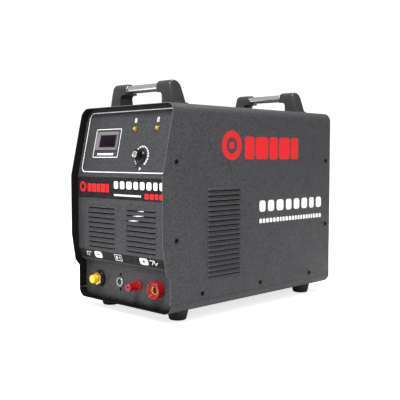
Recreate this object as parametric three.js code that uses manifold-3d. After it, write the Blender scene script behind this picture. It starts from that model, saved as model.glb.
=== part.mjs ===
// Plasma cutter power source: a sheet-metal case with sockets and controls on its front,
// two carrying handles on top, four feet, and the main parts of an inverter inside.
// Millimetres. +Z is up, the front faces -Y and +X is on the right of someone facing the front.
// The origin lies under the middle of the unit, on the surface that its feet stand on.

import * as THREE from "three";
import { mergeVertices } from "three/addons/utils/BufferGeometryUtils.js";
import Module from "manifold-3d";

const wasm = await Module();
wasm.setup();

// ---------------------------------------------------------------- driving dimensions

const CASE_WIDTH = 300;
const CASE_HEIGHT = 420;
const CASE_LENGTH = 565;
const FOOT_HEIGHT = 22;
const REAR_REACH = 22; // the rearmost fitting stands this far behind the cover
const SHEET = 1.5; // thickness of the case's steel
const BEND = 20; // outer radius of the case's long edges, and the height of the seam
const GAP = 0.3; // clearance between pieces that touch

// Side view of the cover's front edge, as [distance behind the foremost edge, height].
const LIP_TOP = 33;
const KNEE_HEIGHT = 272;
const CHIN_HEIGHT = 142;
const JAW = [9, 84];
const THROAT = [20, 70];

const PANEL_RECESS = 18; // the front panel stands this far behind the cover's edge
const SOCKET_FACE = 38.5; // front face of the panel that carries the sockets
const SLOPE = Math.atan2(LIP_TOP, CASE_HEIGHT - KNEE_HEIGHT); // lean of the control panel
const REAR_PANEL = 557; // front face of the rear panel
const FLANGE = 1.5; // thickness of a panel's folded side edge

const LOUVRE_SLOT = 2.4;
const LOUVRE_REACH = 2.8; // a hood stands this far out of its sheet
const LOUVRE_RISE = 6;
const SIDE_LOUVRES = { count: 18, pitch: 10.5, top: 243, middle: 177, length: 100 };
const FRONT_LOUVRES = { count: 9, pitch: 10.6, top: 203, middle: 64.5, length: 91 };

const SCREW_HEAD = 4.8;
const SCREW_SHANK = 2.4;
const SCREW_BORE = 2.8;
const SCREW_LENGTH = 9;
const SCREW_LEVELS = [147, 303];
const SCREW_COLUMNS = [37, 547];
const TOP_SCREWS = [-70, 70];
const TOP_SCREW_SETBACK = 61;

// A handle leg: its outer edge leans in, its post stands at `post` and its arm ends at `arm`.
const HANDLE = { front: 74, span: 413, height: 51.5, depth: 38.5 };
const LEG = { outer: 101, lean: 10, arm: 49, post: 67, underside: 27.5 };
const TUBE = { radius: 9, behind: 12, rise: 38.5, seat: 12 };

const FOOT = { across: 110, front: 78, rear: 500, top: 22, bottom: 18 };

// Places on the control panel are [across, up the slope].
const DISPLAY = { place: [-63, 76.4], width: 76, height: 40, window: [53.5, 25.6], depth: 24 };
const LAMPS = { left: [24, 101.5], right: [93, 101.5] };
const KNOB = { place: [57, 43], skirt: 14.5, grip: 10.2, cap: 8.4, height: 20, flutes: 14 };

// Places on the socket panel are [across, height].
const TORCH = { place: [-97, 44], flange: 18, hex: 15.2, thread: 7.5, cap: 10.5 };
const PILOT = { place: [-26, 44], ring: 10.2, bore: 7.2, reach: 4 };
const POST = { place: [33, 43], collar: 11.5, stud: 4, bore: 4.4, grip: 8.6, tip: 30 };
const WORK = { place: [96, 43], collar: 18, reach: 17, insert: 8.6, bore: 6.5 };

// Places on the rear panel are [across, height].
const FAN = { place: [0, 130], frame: 119, depth: 38, bore: 57, blades: 7, hub: 20 };
const BREAKER = { place: [-80, 330], width: 54, height: 46, depth: 60, rest: 35 };
const GLAND = { place: [80, 330], hex: 15, dome: 11, bore: 6.5 };
const INLET = { place: [105, 62], hex: 9, barb: 5 };
const EARTH = { place: [-105, 62], stud: 3, washer: 7 };

const DECK = { level: 150, half: 129, front: 105, rear: 500 };

// ---------------------------------------------------------------- finishes

const POWDER_COAT = { color: 0x55565a, roughness: 0.65, metalness: 0.2 };
const BLACK_PLASTIC = { color: 0x1c1c1e, roughness: 0.45, metalness: 0 };
const RUBBER = { color: 0x222224, roughness: 0.8, metalness: 0 };
const CHROME = { color: 0xd6d8dc, roughness: 0.15, metalness: 1 };
const STEEL = { color: 0x9a9ca0, roughness: 0.35, metalness: 1 };
const BLACK_STEEL = { color: 0x18181a, roughness: 0.4, metalness: 0.8 };
const BRASS = { color: 0xc9a24a, roughness: 0.3, metalness: 1 };
const RED_PLASTIC = { color: 0xc8141e, roughness: 0.35, metalness: 0 };
const YELLOW_PLASTIC = { color: 0xf2cf18, roughness: 0.4, metalness: 0 };
const AMBER = { color: 0xe09a20, roughness: 0.2, metalness: 0 };
const SMOKED_LENS = { color: 0x0c0a10, roughness: 0.1, metalness: 0 };
const GREY_PLASTIC = { color: 0x7c7c80, roughness: 0.4, metalness: 0 };
const CIRCUIT_BOARD = { color: 0x14502c, roughness: 0.6, metalness: 0 };
const ALUMINIUM = { color: 0xb4b6b8, roughness: 0.4, metalness: 1 };
const COPPER = { color: 0xb0673a, roughness: 0.4, metalness: 1 };

// ---------------------------------------------------------------- helpers

const UP = new THREE.Vector3(0, 0, 1);
const FRONT = new THREE.Vector3(0, -1, 0);
const REAR = new THREE.Vector3(0, 1, 0);
const LEFT = new THREE.Vector3(-1, 0, 0);
const RIGHT = new THREE.Vector3(1, 0, 0);

// A closed geometry as a solid that can be joined and cut.
function solid(geometry) {
  const bare = geometry.index ? geometry.toNonIndexed() : geometry.clone();
  bare.deleteAttribute("normal");
  bare.deleteAttribute("uv");
  const merged = mergeVertices(bare, 1e-3);
  return new wasm.Manifold(
    new wasm.Mesh({
      numProp: 3,
      vertProperties: merged.attributes.position.array,
      triVerts: new Uint32Array(merged.index.array),
    }),
  );
}

// A solid back as a geometry.
function geometryOf(body) {
  const mesh = body.getMesh();
  const geometry = new THREE.BufferGeometry();
  geometry.setAttribute("position", new THREE.BufferAttribute(mesh.vertProperties, 3));
  geometry.setIndex(new THREE.BufferAttribute(mesh.triVerts, 1));
  geometry.computeVertexNormals();
  return geometry;
}

function join(...geometries) {
  const bodies = geometries.map(solid);
  return geometryOf(bodies.reduce((whole, body) => whole.add(body)));
}

function cut(geometry, tools) {
  const bodies = tools.map(solid);
  return geometryOf(bodies.reduce((left, body) => left.subtract(body), solid(geometry)));
}

function common(first, second) {
  return geometryOf(solid(first).intersect(solid(second)));
}

// A box given by its lowest and highest corners.
function block(low, high) {
  const size = high.map((value, axis) => value - low[axis]);
  const middle = high.map((value, axis) => (value + low[axis]) / 2);
  return new THREE.BoxGeometry(...size).translate(...middle);
}

// A turned piece: the profile is [radius, distance along the direction].
function turned(profile, direction, sides = 20) {
  const points = profile.map(([radius, along]) => new THREE.Vector2(radius, along));
  const turn = new THREE.Quaternion().setFromUnitVectors(new THREE.Vector3(0, 1, 0), direction);
  return new THREE.LatheGeometry(points, sides).applyQuaternion(turn);
}

function rod(radius, from, to, direction, sides = 20) {
  return turned([[0, from], [radius, from], [radius, to], [0, to]], direction, sides);
}

function ring(inner, outer, from, to, direction, sides = 20) {
  const profile = [[inner, from], [outer, from], [outer, to], [inner, to], [inner, from]];
  return turned(profile, direction, sides);
}

function outline(points) {
  return new THREE.Shape(points.map(([across, up]) => new THREE.Vector2(across, up)));
}

// A front view (across, up) given depth towards the rear, starting at y = from.
function frontView(shape, from, to, curveSegments = 6) {
  const options = { depth: to - from, bevelEnabled: false, curveSegments };
  return new THREE.ExtrudeGeometry(shape, options).rotateX(Math.PI / 2).translate(0, to, 0);
}

// A side view (behind, up) given width from x = from to x = to.
function sideView(shape, from, to, curveSegments = 6) {
  const options = { depth: to - from, bevelEnabled: false, curveSegments };
  const turn = new THREE.Matrix4().makeBasis(REAR, UP, RIGHT);
  return new THREE.ExtrudeGeometry(shape, options).applyMatrix4(turn).translate(from, 0, 0);
}

// A rectangle with rounded corners, from its lowest to its highest corner.
function roundedRectangle(left, bottom, right, top, radius) {
  const shape = new THREE.Shape();
  shape.moveTo(left + radius, bottom);
  shape.lineTo(right - radius, bottom);
  shape.absarc(right - radius, bottom + radius, radius, -Math.PI / 2, 0);
  shape.lineTo(right, top - radius);
  shape.absarc(right - radius, top - radius, radius, 0, Math.PI / 2);
  shape.lineTo(left + radius, top);
  shape.absarc(left + radius, top - radius, radius, Math.PI / 2, Math.PI);
  shape.lineTo(left, bottom + radius);
  shape.absarc(left + radius, bottom + radius, radius, Math.PI, Math.PI * 1.5);
  return shape;
}

function part(parent, name, geometry, finish, place = [0, 0, 0]) {
  const mesh = new THREE.Mesh(geometry, new THREE.MeshStandardMaterial(finish));
  mesh.name = name;
  mesh.position.set(...place);
  parent.add(mesh);
  return mesh;
}

const HALF = CASE_WIDTH / 2;
const INSIDE = HALF - SHEET; // half the clear width inside the cover
const PANEL_HALF = INSIDE - GAP;

// Bores through both side walls for the side screws, at [behind, height] places.
function sideBores(places) {
  return places.map(([behind, height]) =>
    rod(SCREW_BORE, -HALF - 5, HALF + 5, RIGHT, 8).translate(0, behind, height),
  );
}

const COLUMN_PLACES = SCREW_COLUMNS.flatMap((behind) =>
  SCREW_LEVELS.map((height) => [behind, height]),
);

// ---------------------------------------------------------------- groups

const unit = new THREE.Group();

// The case's frame: y counts back from the cover's foremost edge and z up from its underside.
const caseFrame = new THREE.Group();
caseFrame.position.set(0, -(CASE_LENGTH + REAR_REACH) / 2, FOOT_HEIGHT);
unit.add(caseFrame);

// The control panel's frame: x across, y up the slope and z out of the panel.
const controls = new THREE.Group();
controls.position.set(0, PANEL_RECESS, KNEE_HEIGHT);
controls.rotation.x = Math.PI / 2 - SLOPE;
controls.updateMatrix();
caseFrame.add(controls);

const OUT = UP; // out of the control panel, in its own frame

// ---------------------------------------------------------------- louvres

// Slots and hoods for the two side walls.
function sideLouvres() {
  const slots = [];
  const hoods = [];
  const { count, pitch, top, middle, length } = SIDE_LOUVRES;
  const from = middle - length / 2;
  const to = middle + length / 2;
  for (let row = 0; row < count; row++) {
    const low = top - row * pitch - LOUVRE_SLOT / 2;
    const lip = low + LOUVRE_SLOT;
    slots.push(block([-HALF - 5, from, low], [HALF + 5, to, lip]));
    for (const side of [-1, 1]) {
      const wall = side * (HALF - 0.5);
      const edge = side * (HALF + LOUVRE_REACH);
      const corners = [[wall, lip], [edge, lip], [edge, lip + 0.8], [wall, lip + LOUVRE_RISE]];
      const section = outline(side > 0 ? corners : corners.reverse());
      hoods.push(frontView(section, from, to));
    }
  }
  return { slots, hoods };
}

// Slots and hoods for the two banks on the front panel.
function frontLouvres() {
  const slots = [];
  const hoods = [];
  const { count, pitch, top, middle, length } = FRONT_LOUVRES;
  for (let row = 0; row < count; row++) {
    const low = top - row * pitch - LOUVRE_SLOT / 2;
    const lip = low + LOUVRE_SLOT;
    const edge = PANEL_RECESS - LOUVRE_REACH;
    const wall = PANEL_RECESS + 0.5;
    const corners = [[wall, lip], [wall, lip + LOUVRE_RISE], [edge, lip + 0.8], [edge, lip]];
    for (const side of [-1, 1]) {
      const from = side * middle - length / 2;
      const to = side * middle + length / 2;
      slots.push(block([from, PANEL_RECESS - 5, low], [to, PANEL_RECESS + 5, lip]));
      hoods.push(sideView(outline(corners), from, to));
    }
  }
  return { slots, hoods };
}

// ---------------------------------------------------------------- case

// The cover's cross-section: an inverted U with rounded corners.
function coverSection() {
  const bottom = BEND + GAP;
  const centre = HALF - BEND;
  const level = CASE_HEIGHT - BEND;
  const section = new THREE.Shape();
  section.moveTo(HALF, bottom);
  section.lineTo(HALF, level);
  section.absarc(centre, level, BEND, 0, Math.PI / 2);
  section.lineTo(-centre, CASE_HEIGHT);
  section.absarc(-centre, level, BEND, Math.PI / 2, Math.PI);
  section.lineTo(-HALF, bottom);
  section.lineTo(-INSIDE, bottom);
  section.lineTo(-INSIDE, level);
  section.absarc(-centre, level, BEND - SHEET, Math.PI, Math.PI / 2, true);
  section.lineTo(centre, CASE_HEIGHT - SHEET);
  section.absarc(centre, level, BEND - SHEET, Math.PI / 2, 0, true);
  section.lineTo(INSIDE, bottom);
  return section;
}

// The cover's side view, whose front edge is the nose.
function noseView() {
  return outline([
    [LIP_TOP, CASE_HEIGHT],
    [0, KNEE_HEIGHT],
    [0, CHIN_HEIGHT],
    JAW,
    THROAT,
    [THROAT[0], 0],
    [CASE_LENGTH, 0],
    [CASE_LENGTH, CASE_HEIGHT],
  ]);
}

function makeCover() {
  const sheet = frontView(coverSection(), 0, CASE_LENGTH);
  const shell = common(sheet, sideView(noseView(), -HALF, HALF));
  const { slots, hoods } = sideLouvres();
  const topBore = rod(SCREW_BORE, -5, 5, UP, 8).translate(0, TOP_SCREW_SETBACK, CASE_HEIGHT);
  const topBores = TOP_SCREWS.map((across) => topBore.clone().translate(across, 0, 0));
  return cut(join(shell, ...hoods), [...slots, ...topBores, ...sideBores(COLUMN_PLACES)]);
}

// A tray whose long edges are bent up: the cover's sides meet it at the seam.
function makeBasePan() {
  const section = new THREE.Shape();
  section.moveTo(BEND - HALF, 0);
  section.lineTo(HALF - BEND, 0);
  section.absarc(HALF - BEND, BEND, BEND, -Math.PI / 2, 0);
  section.lineTo(INSIDE, BEND);
  section.absarc(HALF - BEND, BEND, BEND - SHEET, 0, -Math.PI / 2, true);
  section.lineTo(BEND - HALF, SHEET);
  section.absarc(BEND - HALF, BEND, BEND - SHEET, -Math.PI / 2, -Math.PI, true);
  section.lineTo(-HALF, BEND);
  section.absarc(BEND - HALF, BEND, BEND, Math.PI, Math.PI * 1.5);
  const tray = frontView(section, THROAT[0], CASE_LENGTH);
  const flanges = [-PANEL_HALF, PANEL_HALF - FLANGE].map((x) =>
    block([x, 66, BEND - 6.5], [x + FLANGE, 526, BEND + 26]),
  );
  return join(tray, ...flanges);
}

// Everything inside the rounded section of the case, between two depths.
function caseBore(from, to) {
  const radius = BEND - SHEET - GAP;
  const low = SHEET + GAP;
  const high = CASE_HEIGHT - SHEET - GAP;
  return frontView(roundedRectangle(-PANEL_HALF, low, PANEL_HALF, high, radius), from, to);
}

// The front panel's outer side, in side view, from the top down.
function panelFace() {
  const high = CASE_HEIGHT - SHEET;
  return [
    [PANEL_RECESS + (high - KNEE_HEIGHT) * Math.tan(SLOPE), high],
    [PANEL_RECESS, KNEE_HEIGHT],
    [PANEL_RECESS, 112],
    [PANEL_RECESS + 9, 86],
    [SOCKET_FACE, 79],
    [SOCKET_FACE, SHEET],
  ];
}

// The edges folded back along both sides of the front panel, which the side screws hold.
function panelFlanges() {
  const side = outline([
    [PANEL_RECESS + 1, 113],
    [PANEL_RECESS + 10, 87],
    [SOCKET_FACE + 1, 79],
    [SOCKET_FACE + 1, 24],
    [62, 24],
    [62, 396],
    [46.5, 396],
    [PANEL_RECESS + 1, KNEE_HEIGHT],
  ]);
  return [-PANEL_HALF, PANEL_HALF - FLANGE].map((x) => sideView(side, x, x + FLANGE));
}

// Openings for the meter, the lamps and the knob, cut square to the slope.
function controlOpenings() {
  const [displayX, displayY] = DISPLAY.place;
  const meter = block([-36.5, -17.5, -5], [36.5, 17.5, 5]).translate(displayX, displayY, 0);
  const lamps = Object.values(LAMPS).map(([x, y]) => rod(5.4, -5, 5, OUT, 16).translate(x, y, 0));
  const spindle = rod(4.4, -5, 5, OUT, 16).translate(...KNOB.place, 0);
  return [meter, ...lamps, spindle].map((tool) => tool.applyMatrix4(controls.matrix));
}

function socketOpenings() {
  const bores = [[9.4, TORCH.place], [8.4, PILOT.place], [4.6, POST.place], [14.4, WORK.place]];
  return bores.map(([radius, [x, z]]) => rod(radius, 20, 60, REAR).translate(x, 0, z));
}

// A bent panel: controls on the slope, louvres on the upright, sockets on the recessed foot.
function makeFrontPanel() {
  const face = panelFace();
  const back = face.map(([behind, height]) => [behind + SHEET, height]).reverse();
  const strip = sideView(outline([...face, ...back]), -HALF, HALF);
  const sheet = common(strip, caseBore(0, 100));
  const { slots, hoods } = frontLouvres();
  const bores = sideBores(COLUMN_PLACES.filter(([behind]) => behind < 100));
  const openings = [...slots, ...socketOpenings(), ...controlOpenings(), ...bores];
  return cut(join(sheet, ...panelFlanges(), ...hoods), openings);
}

// A flat panel with its side edges folded forward.
function makeRearPanel() {
  const sheet = caseBore(REAR_PANEL, REAR_PANEL + SHEET);
  const flanges = [-PANEL_HALF, PANEL_HALF - FLANGE].map((x) =>
    block([x, REAR_PANEL - 27, 50], [x + FLANGE, REAR_PANEL + 1, 396]),
  );
  const reach = [REAR_PANEL - 5, REAR_PANEL + 5];
  const hole = (radius, [across, up]) => rod(radius, ...reach, REAR).translate(across, 0, up);
  const [x, z] = BREAKER.place;
  const halfWidth = BREAKER.width / 2 + GAP;
  const halfHeight = BREAKER.height / 2 + GAP;
  const low = [x - halfWidth, reach[0], z - halfHeight];
  const window = block(low, [x + halfWidth, reach[1], z + halfHeight]);
  const bores = sideBores(COLUMN_PLACES.filter(([behind]) => behind > 100));
  return cut(join(sheet, ...flanges), [
    rod(54, ...reach, REAR, 32).translate(FAN.place[0], 0, FAN.place[1]),
    window,
    hole(10.4, GLAND.place),
    hole(6.4, INLET.place),
    hole(3.4, EARTH.place),
    ...bores,
  ]);
}

part(caseFrame, "cover", makeCover(), POWDER_COAT);
part(caseFrame, "base_pan", makeBasePan(), POWDER_COAT);
part(caseFrame, "front_panel", makeFrontPanel(), POWDER_COAT);
part(caseFrame, "rear_panel", makeRearPanel(), POWDER_COAT);

// ---------------------------------------------------------------- screws

function makeScrew(direction) {
  const profile = [
    [0, -SCREW_LENGTH],
    [SCREW_SHANK, -SCREW_LENGTH],
    [SCREW_SHANK, GAP],
    [SCREW_HEAD, GAP],
    [SCREW_HEAD - 0.6, 1.9],
    [SCREW_HEAD - 2.4, 2.6],
    [0, 2.6],
  ];
  return turned(profile, direction, 10);
}

const COLUMN_NAMES = ["front", "rear"];
const LEVEL_NAMES = ["lower", "upper"];
for (const [side, direction] of [["left", LEFT], ["right", RIGHT]]) {
  SCREW_COLUMNS.forEach((behind, column) => {
    SCREW_LEVELS.forEach((height, level) => {
      const name = `${side}_${COLUMN_NAMES[column]}_${LEVEL_NAMES[level]}_screw`;
      const place = [direction.x * HALF, behind, height];
      part(caseFrame, name, makeScrew(direction), BLACK_STEEL, place);
    });
  });
}
["top_left_screw", "top_right_screw"].forEach((name, index) => {
  const place = [TOP_SCREWS[index], TOP_SCREW_SETBACK, CASE_HEIGHT];
  part(caseFrame, name, makeScrew(UP), BLACK_STEEL, place);
});

// ---------------------------------------------------------------- handles

// A leg's side view: upright in front, sloping at the rear, with a rounded crown.
function legSideView() {
  const { height, depth } = HANDLE;
  const tomb = new THREE.Shape();
  tomb.moveTo(0, GAP);
  tomb.lineTo(depth, GAP);
  tomb.bezierCurveTo(depth - 1, 12, depth - 4, height - 6, 21, height - 1.4);
  tomb.quadraticCurveTo(17, height, 13, height);
  tomb.quadraticCurveTo(0, height, 0, height - 13);
  return tomb;
}

// A leg's front view: a leaning post whose arm reaches in above the arch.
function legFrontView() {
  const { height } = HANDLE;
  const { outer, lean, arm, post, underside } = LEG;
  const shape = new THREE.Shape();
  shape.moveTo(post, 0);
  shape.lineTo(outer, 0);
  shape.lineTo(outer - lean + 1, height - 8);
  shape.quadraticCurveTo(outer - lean - 1, height, outer - lean - 8, height);
  shape.lineTo(arm + 4, height);
  shape.quadraticCurveTo(arm, height, arm, height - 4);
  shape.lineTo(arm, underside);
  shape.lineTo(post - 13, underside);
  shape.quadraticCurveTo(post - 2, underside, post - 1.5, underside - 11);
  return shape;
}

// The same geometry on the other side of the middle, with its faces turned to point out again.
function mirrored(geometry) {
  const twin = geometry.clone().scale(-1, 1, 1);
  const index = twin.index.array;
  for (let i = 0; i < index.length; i += 3) {
    [index[i], index[i + 1]] = [index[i + 1], index[i]];
  }
  return twin;
}

// The right leg: the overlap of its two views, with a seat bored for the tube.
function makeHandleLeg() {
  const { outer, arm } = LEG;
  const side = sideView(legSideView(), 0, outer + 2, 8);
  const leg = common(side, frontView(legFrontView(), -5, 60));
  const seat = rod(TUBE.radius + GAP, 0, arm + TUBE.seat, RIGHT, 24);
  return cut(leg, [seat.translate(0, TUBE.behind, TUBE.rise)]);
}

const rightLeg = makeHandleLeg();
const leftLeg = mirrored(rightLeg);
for (const [where, shift] of [["front", 0], ["rear", HANDLE.span]]) {
  const handle = new THREE.Group();
  handle.position.set(0, HANDLE.front + shift, CASE_HEIGHT);
  caseFrame.add(handle);
  const half = LEG.arm + TUBE.seat - 1;
  const bar = rod(TUBE.radius, -half, half, RIGHT, 24);
  part(handle, `${where}_handle_left_leg`, leftLeg, BLACK_PLASTIC);
  part(handle, `${where}_handle_right_leg`, rightLeg, BLACK_PLASTIC);
  part(handle, `${where}_handle_tube`, bar, CHROME, [0, TUBE.behind, TUBE.rise]);
}

// ---------------------------------------------------------------- feet

for (const [side, sign] of [["left", -1], ["right", 1]]) {
  for (const [where, behind] of [["front", FOOT.front], ["rear", FOOT.rear]]) {
    const profile = [
      [0, -FOOT_HEIGHT],
      [FOOT.bottom - 3, -FOOT_HEIGHT],
      [FOOT.bottom, -FOOT_HEIGHT + 3],
      [FOOT.top, -5],
      [FOOT.top, -GAP],
      [0, -GAP],
    ];
    const place = [sign * FOOT.across, behind, 0];
    part(caseFrame, `${where}_${side}_foot`, turned(profile, UP, 24), RUBBER, place);
  }
}

// ---------------------------------------------------------------- control panel

// A block round the middle of a fitting on the control panel, between two heights.
function centred([width, height], from, to) {
  return block([-width / 2, -height / 2, from], [width / 2, height / 2, to]);
}

// A panel meter: a thin bezel in front and a body behind, with a sunk window.
function makeDisplay() {
  const bezel = centred([DISPLAY.width, DISPLAY.height], GAP, 2.6);
  const body = centred([72, 34], -DISPLAY.depth, 1);
  return cut(join(bezel, body), [centred(DISPLAY.window, -5, 5)]);
}

const displayPlace = [...DISPLAY.place, 0];
const lensSize = DISPLAY.window.map((size) => size - 2 * GAP);
part(controls, "display_module", makeDisplay(), GREY_PLASTIC, displayPlace);
part(controls, "display_lens", centred(lensSize, -4.7, -3.5), SMOKED_LENS, displayPlace);

const LAMP_BEZEL = [[3.8, -9], [5, -9], [5, GAP], [7, GAP], [6.2, 2.4], [3.8, 2.4], [3.8, -9]];
const LAMP_LENS = [[0, -7], [3.5, -7], [3.5, 3], [2.6, 4.6], [0, 5.3]];
for (const [side, [across, up]] of Object.entries(LAMPS)) {
  const place = [across, up, 0];
  part(controls, `${side}_lamp_bezel`, turned(LAMP_BEZEL, OUT, 20), BRASS, place);
  part(controls, `${side}_lamp_lens`, turned(LAMP_LENS, OUT, 16), AMBER, place);
}

// A knob with a round skirt and a fluted grip; its blind bore holds the spindle.
function makeKnob() {
  const { skirt, grip, height, flutes } = KNOB;
  const profile = [
    [0, 1.2],
    [skirt, 1.2],
    [skirt, 3.4],
    [skirt - 2.2, 6],
    [grip, 6.6],
    [grip - 0.7, height - 2],
    [0, height - 2],
  ];
  const body = turned(profile, OUT, 28);
  const grooves = [];
  for (let i = 0; i < flutes; i++) {
    const angle = (i * 2 * Math.PI) / flutes;
    const groove = rod(0.8, 7.2, height, OUT, 6);
    grooves.push(groove.translate((grip + 0.2) * Math.cos(angle), (grip + 0.2) * Math.sin(angle), 0));
  }
  return cut(body, [rod(3.3, 0, 14, OUT, 16), ...grooves]);
}

// The knob's cap, let into the end of the grip.
function makeKnobCap() {
  const { cap, height } = KNOB;
  const profile = [
    [0, height - 1.7],
    [cap, height - 1.7],
    [cap, height - 0.6],
    [cap - 0.8, height],
    [0, height],
  ];
  return turned(profile, OUT, 24);
}

// The control behind the panel, with the threaded neck that holds it.
function makePotentiometer() {
  const profile = [
    [3.3, -6.5],
    [0, -6.5],
    [0, -14],
    [12, -14],
    [12, -3],
    [4.1, -3],
    [4.1, 0.8],
    [3.3, 0.8],
    [3.3, -6.5],
  ];
  return turned(profile, OUT, 20);
}

const knobPlace = [...KNOB.place, 0];
part(controls, "current_knob", makeKnob(), BLACK_PLASTIC, knobPlace);
part(controls, "knob_cap", makeKnobCap(), ALUMINIUM, knobPlace);
part(controls, "knob_spindle", rod(3, -6, 13.5, OUT, 16), STEEL, knobPlace);
part(controls, "potentiometer", makePotentiometer(), STEEL, knobPlace);

// ---------------------------------------------------------------- socket panel

function socketPlace([across, height]) {
  return [across, SOCKET_FACE, height];
}

// Torch outlet: a black flange, a brass hexagon with a spigot, and a yellow dust cap.
function makeTorchFlange() {
  const radius = TORCH.flange;
  const profile = [[9.4, GAP], [radius, GAP], [radius, 4.4], [radius - 1.4, 6], [9.4, 6], [9.4, GAP]];
  return turned(profile, FRONT, 28);
}

function makeTorchNipple() {
  const { hex, thread } = TORCH;
  const outside = [[0, -14], [9, -14], [9, 7], [thread, 7], [thread, 19], [thread - 0.8, 20]];
  const bore = [[3, 20], [3, 8], [0, 8]];
  return join(rod(hex, 6.3, 11, FRONT, 6), turned([...outside, ...bore], FRONT));
}

function makeDustCap() {
  const grip = rod(TORCH.cap, 11.3, 15, FRONT, 6);
  const barrel = turned([[0, 11.3], [9.4, 11.3], [9.4, 23], [8.6, 24], [0, 24]], FRONT);
  return cut(join(grip, barrel), [rod(TORCH.thread + 0.4, 5, 20.5, FRONT)]);
}

const torchPlace = socketPlace(TORCH.place);
part(caseFrame, "torch_socket_flange", makeTorchFlange(), BLACK_PLASTIC, torchPlace);
part(caseFrame, "torch_socket_nipple", makeTorchNipple(), BRASS, torchPlace);
part(caseFrame, "torch_dust_cap", makeDustCap(), YELLOW_PLASTIC, torchPlace);

// Pilot socket: a chromed ring round a two-pin insert.
function makePilotShell() {
  const { ring: radius, bore, reach } = PILOT;
  const sleeve = [[bore, -12], [bore + 0.8, -12], [bore + 0.8, GAP]];
  const rim = [[radius, GAP], [radius, reach - 0.8], [radius - 0.8, reach], [bore, reach], [bore, -12]];
  return turned([...sleeve, ...rim], FRONT);
}

function makePilotInsert() {
  const pins = [-3, 3].map((shift) => rod(1.2, -3, 3, FRONT, 8).translate(shift, 0, 0));
  return join(rod(PILOT.bore - GAP, -10, -2, FRONT), ...pins);
}

const pilotPlace = socketPlace(PILOT.place);
part(caseFrame, "pilot_socket_shell", makePilotShell(), CHROME, pilotPlace);
part(caseFrame, "pilot_socket_insert", makePilotInsert(), BLACK_PLASTIC, pilotPlace);

// Binding post: a collar, a stud, a washer and a red hand nut.
function makePostBase() {
  const radius = POST.collar;
  const profile = [[4.5, GAP], [radius, GAP], [radius, 3.4], [radius - 1.6, 5], [4.5, 5], [4.5, GAP]];
  return turned(profile, FRONT);
}

function makePostNut() {
  const { grip, tip, bore } = POST;
  const flange = [[0, 6.8], [9.8, 6.8], [9.8, 9.5]];
  const handle = [[grip, 11], [grip - 0.4, tip - 1.4], [grip - 1.8, tip], [0, tip]];
  return cut(turned([...flange, ...handle], FRONT), [rod(bore, 5, 22, FRONT)]);
}

const postPlace = socketPlace(POST.place);
part(caseFrame, "binding_post_base", makePostBase(), RED_PLASTIC, postPlace);
part(caseFrame, "binding_post_stud", rod(POST.stud, -16, 21, FRONT), BRASS, postPlace);
part(caseFrame, "binding_post_washer", ring(POST.bore, 8, 5.3, 6.5, FRONT), STEEL, postPlace);
part(caseFrame, "binding_post_nut", makePostNut(), RED_PLASTIC, postPlace);

// Work socket: a deep red collar round a brass bayonet bore.
function makeWorkCollar() {
  const { collar, reach, insert } = WORK;
  const bore = insert + GAP;
  const outside = [[bore, -18], [14, -18], [14, GAP], [collar, GAP], [collar, reach - 1.2]];
  const rim = [[collar - 1, reach], [collar - 2.6, reach], [collar - 3.4, reach - 4]];
  return turned([...outside, ...rim, [bore, reach - 4], [bore, -18]], FRONT, 32);
}

function makeWorkInsert() {
  const { insert, bore } = WORK;
  const profile = [[0, -24], [insert, -24], [insert, 12], [bore, 12], [bore, -12], [0, -12]];
  return turned(profile, FRONT, 28);
}

const workPlace = socketPlace(WORK.place);
part(caseFrame, "work_socket_collar", makeWorkCollar(), RED_PLASTIC, workPlace);
part(caseFrame, "work_socket_insert", makeWorkInsert(), BRASS, workPlace);

// ---------------------------------------------------------------- rear panel

const rearFace = REAR_PANEL + SHEET;

function makeFanFrame() {
  const half = FAN.frame / 2;
  const front = REAR_PANEL - GAP - FAN.depth;
  const rear = REAR_PANEL - GAP;
  const box = block([-half, front, -half], [half, rear, half]);
  const tunnel = cut(box, [rod(FAN.bore, front - 1, rear + 1, REAR, 32)]);
  const mount = rod(18, front, front + 5, REAR, 20);
  const spokes = [0, 1, 2].map((index) =>
    block([-2, front, 10], [2, front + 4, FAN.bore + 1]).rotateY((index * 2 * Math.PI) / 3),
  );
  return join(tunnel, mount, ...spokes);
}

function makeFanRotor() {
  const front = REAR_PANEL - GAP - FAN.depth + 6;
  const rear = front + 28;
  const profile = [[0, front], [FAN.hub, front], [FAN.hub, rear - 2], [FAN.hub - 2, rear], [0, rear]];
  const hub = turned(profile, REAR, 28);
  const blades = [];
  for (let index = 0; index < FAN.blades; index++) {
    const blade = block([-1.1, -13, FAN.hub - 2], [1.1, 13, 54]).rotateZ(0.75);
    blades.push(blade.translate(0, front + 14, 0).rotateY((index * 2 * Math.PI) / FAN.blades));
  }
  return join(hub, ...blades);
}

// A wire guard: four rings on two crossed bars.
function makeFanGuard() {
  const from = rearFace + GAP;
  const rings = [14, 28, 42, 56].map((radius) =>
    ring(radius - 1.2, radius + 1.2, from, from + 2.4, REAR, 18),
  );
  const bars = [Math.PI / 4, -Math.PI / 4].map((angle) =>
    block([-1.4, from + 0.4, -66], [1.4, from + 3.4, 66]).rotateY(angle),
  );
  return join(...rings, ...bars);
}

const fanPlace = [FAN.place[0], 0, FAN.place[1]];
part(caseFrame, "fan_frame", makeFanFrame(), BLACK_PLASTIC, fanPlace);
part(caseFrame, "fan_rotor", makeFanRotor(), BLACK_PLASTIC, fanPlace);
part(caseFrame, "fan_guard", makeFanGuard(), CHROME, fanPlace);

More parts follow.
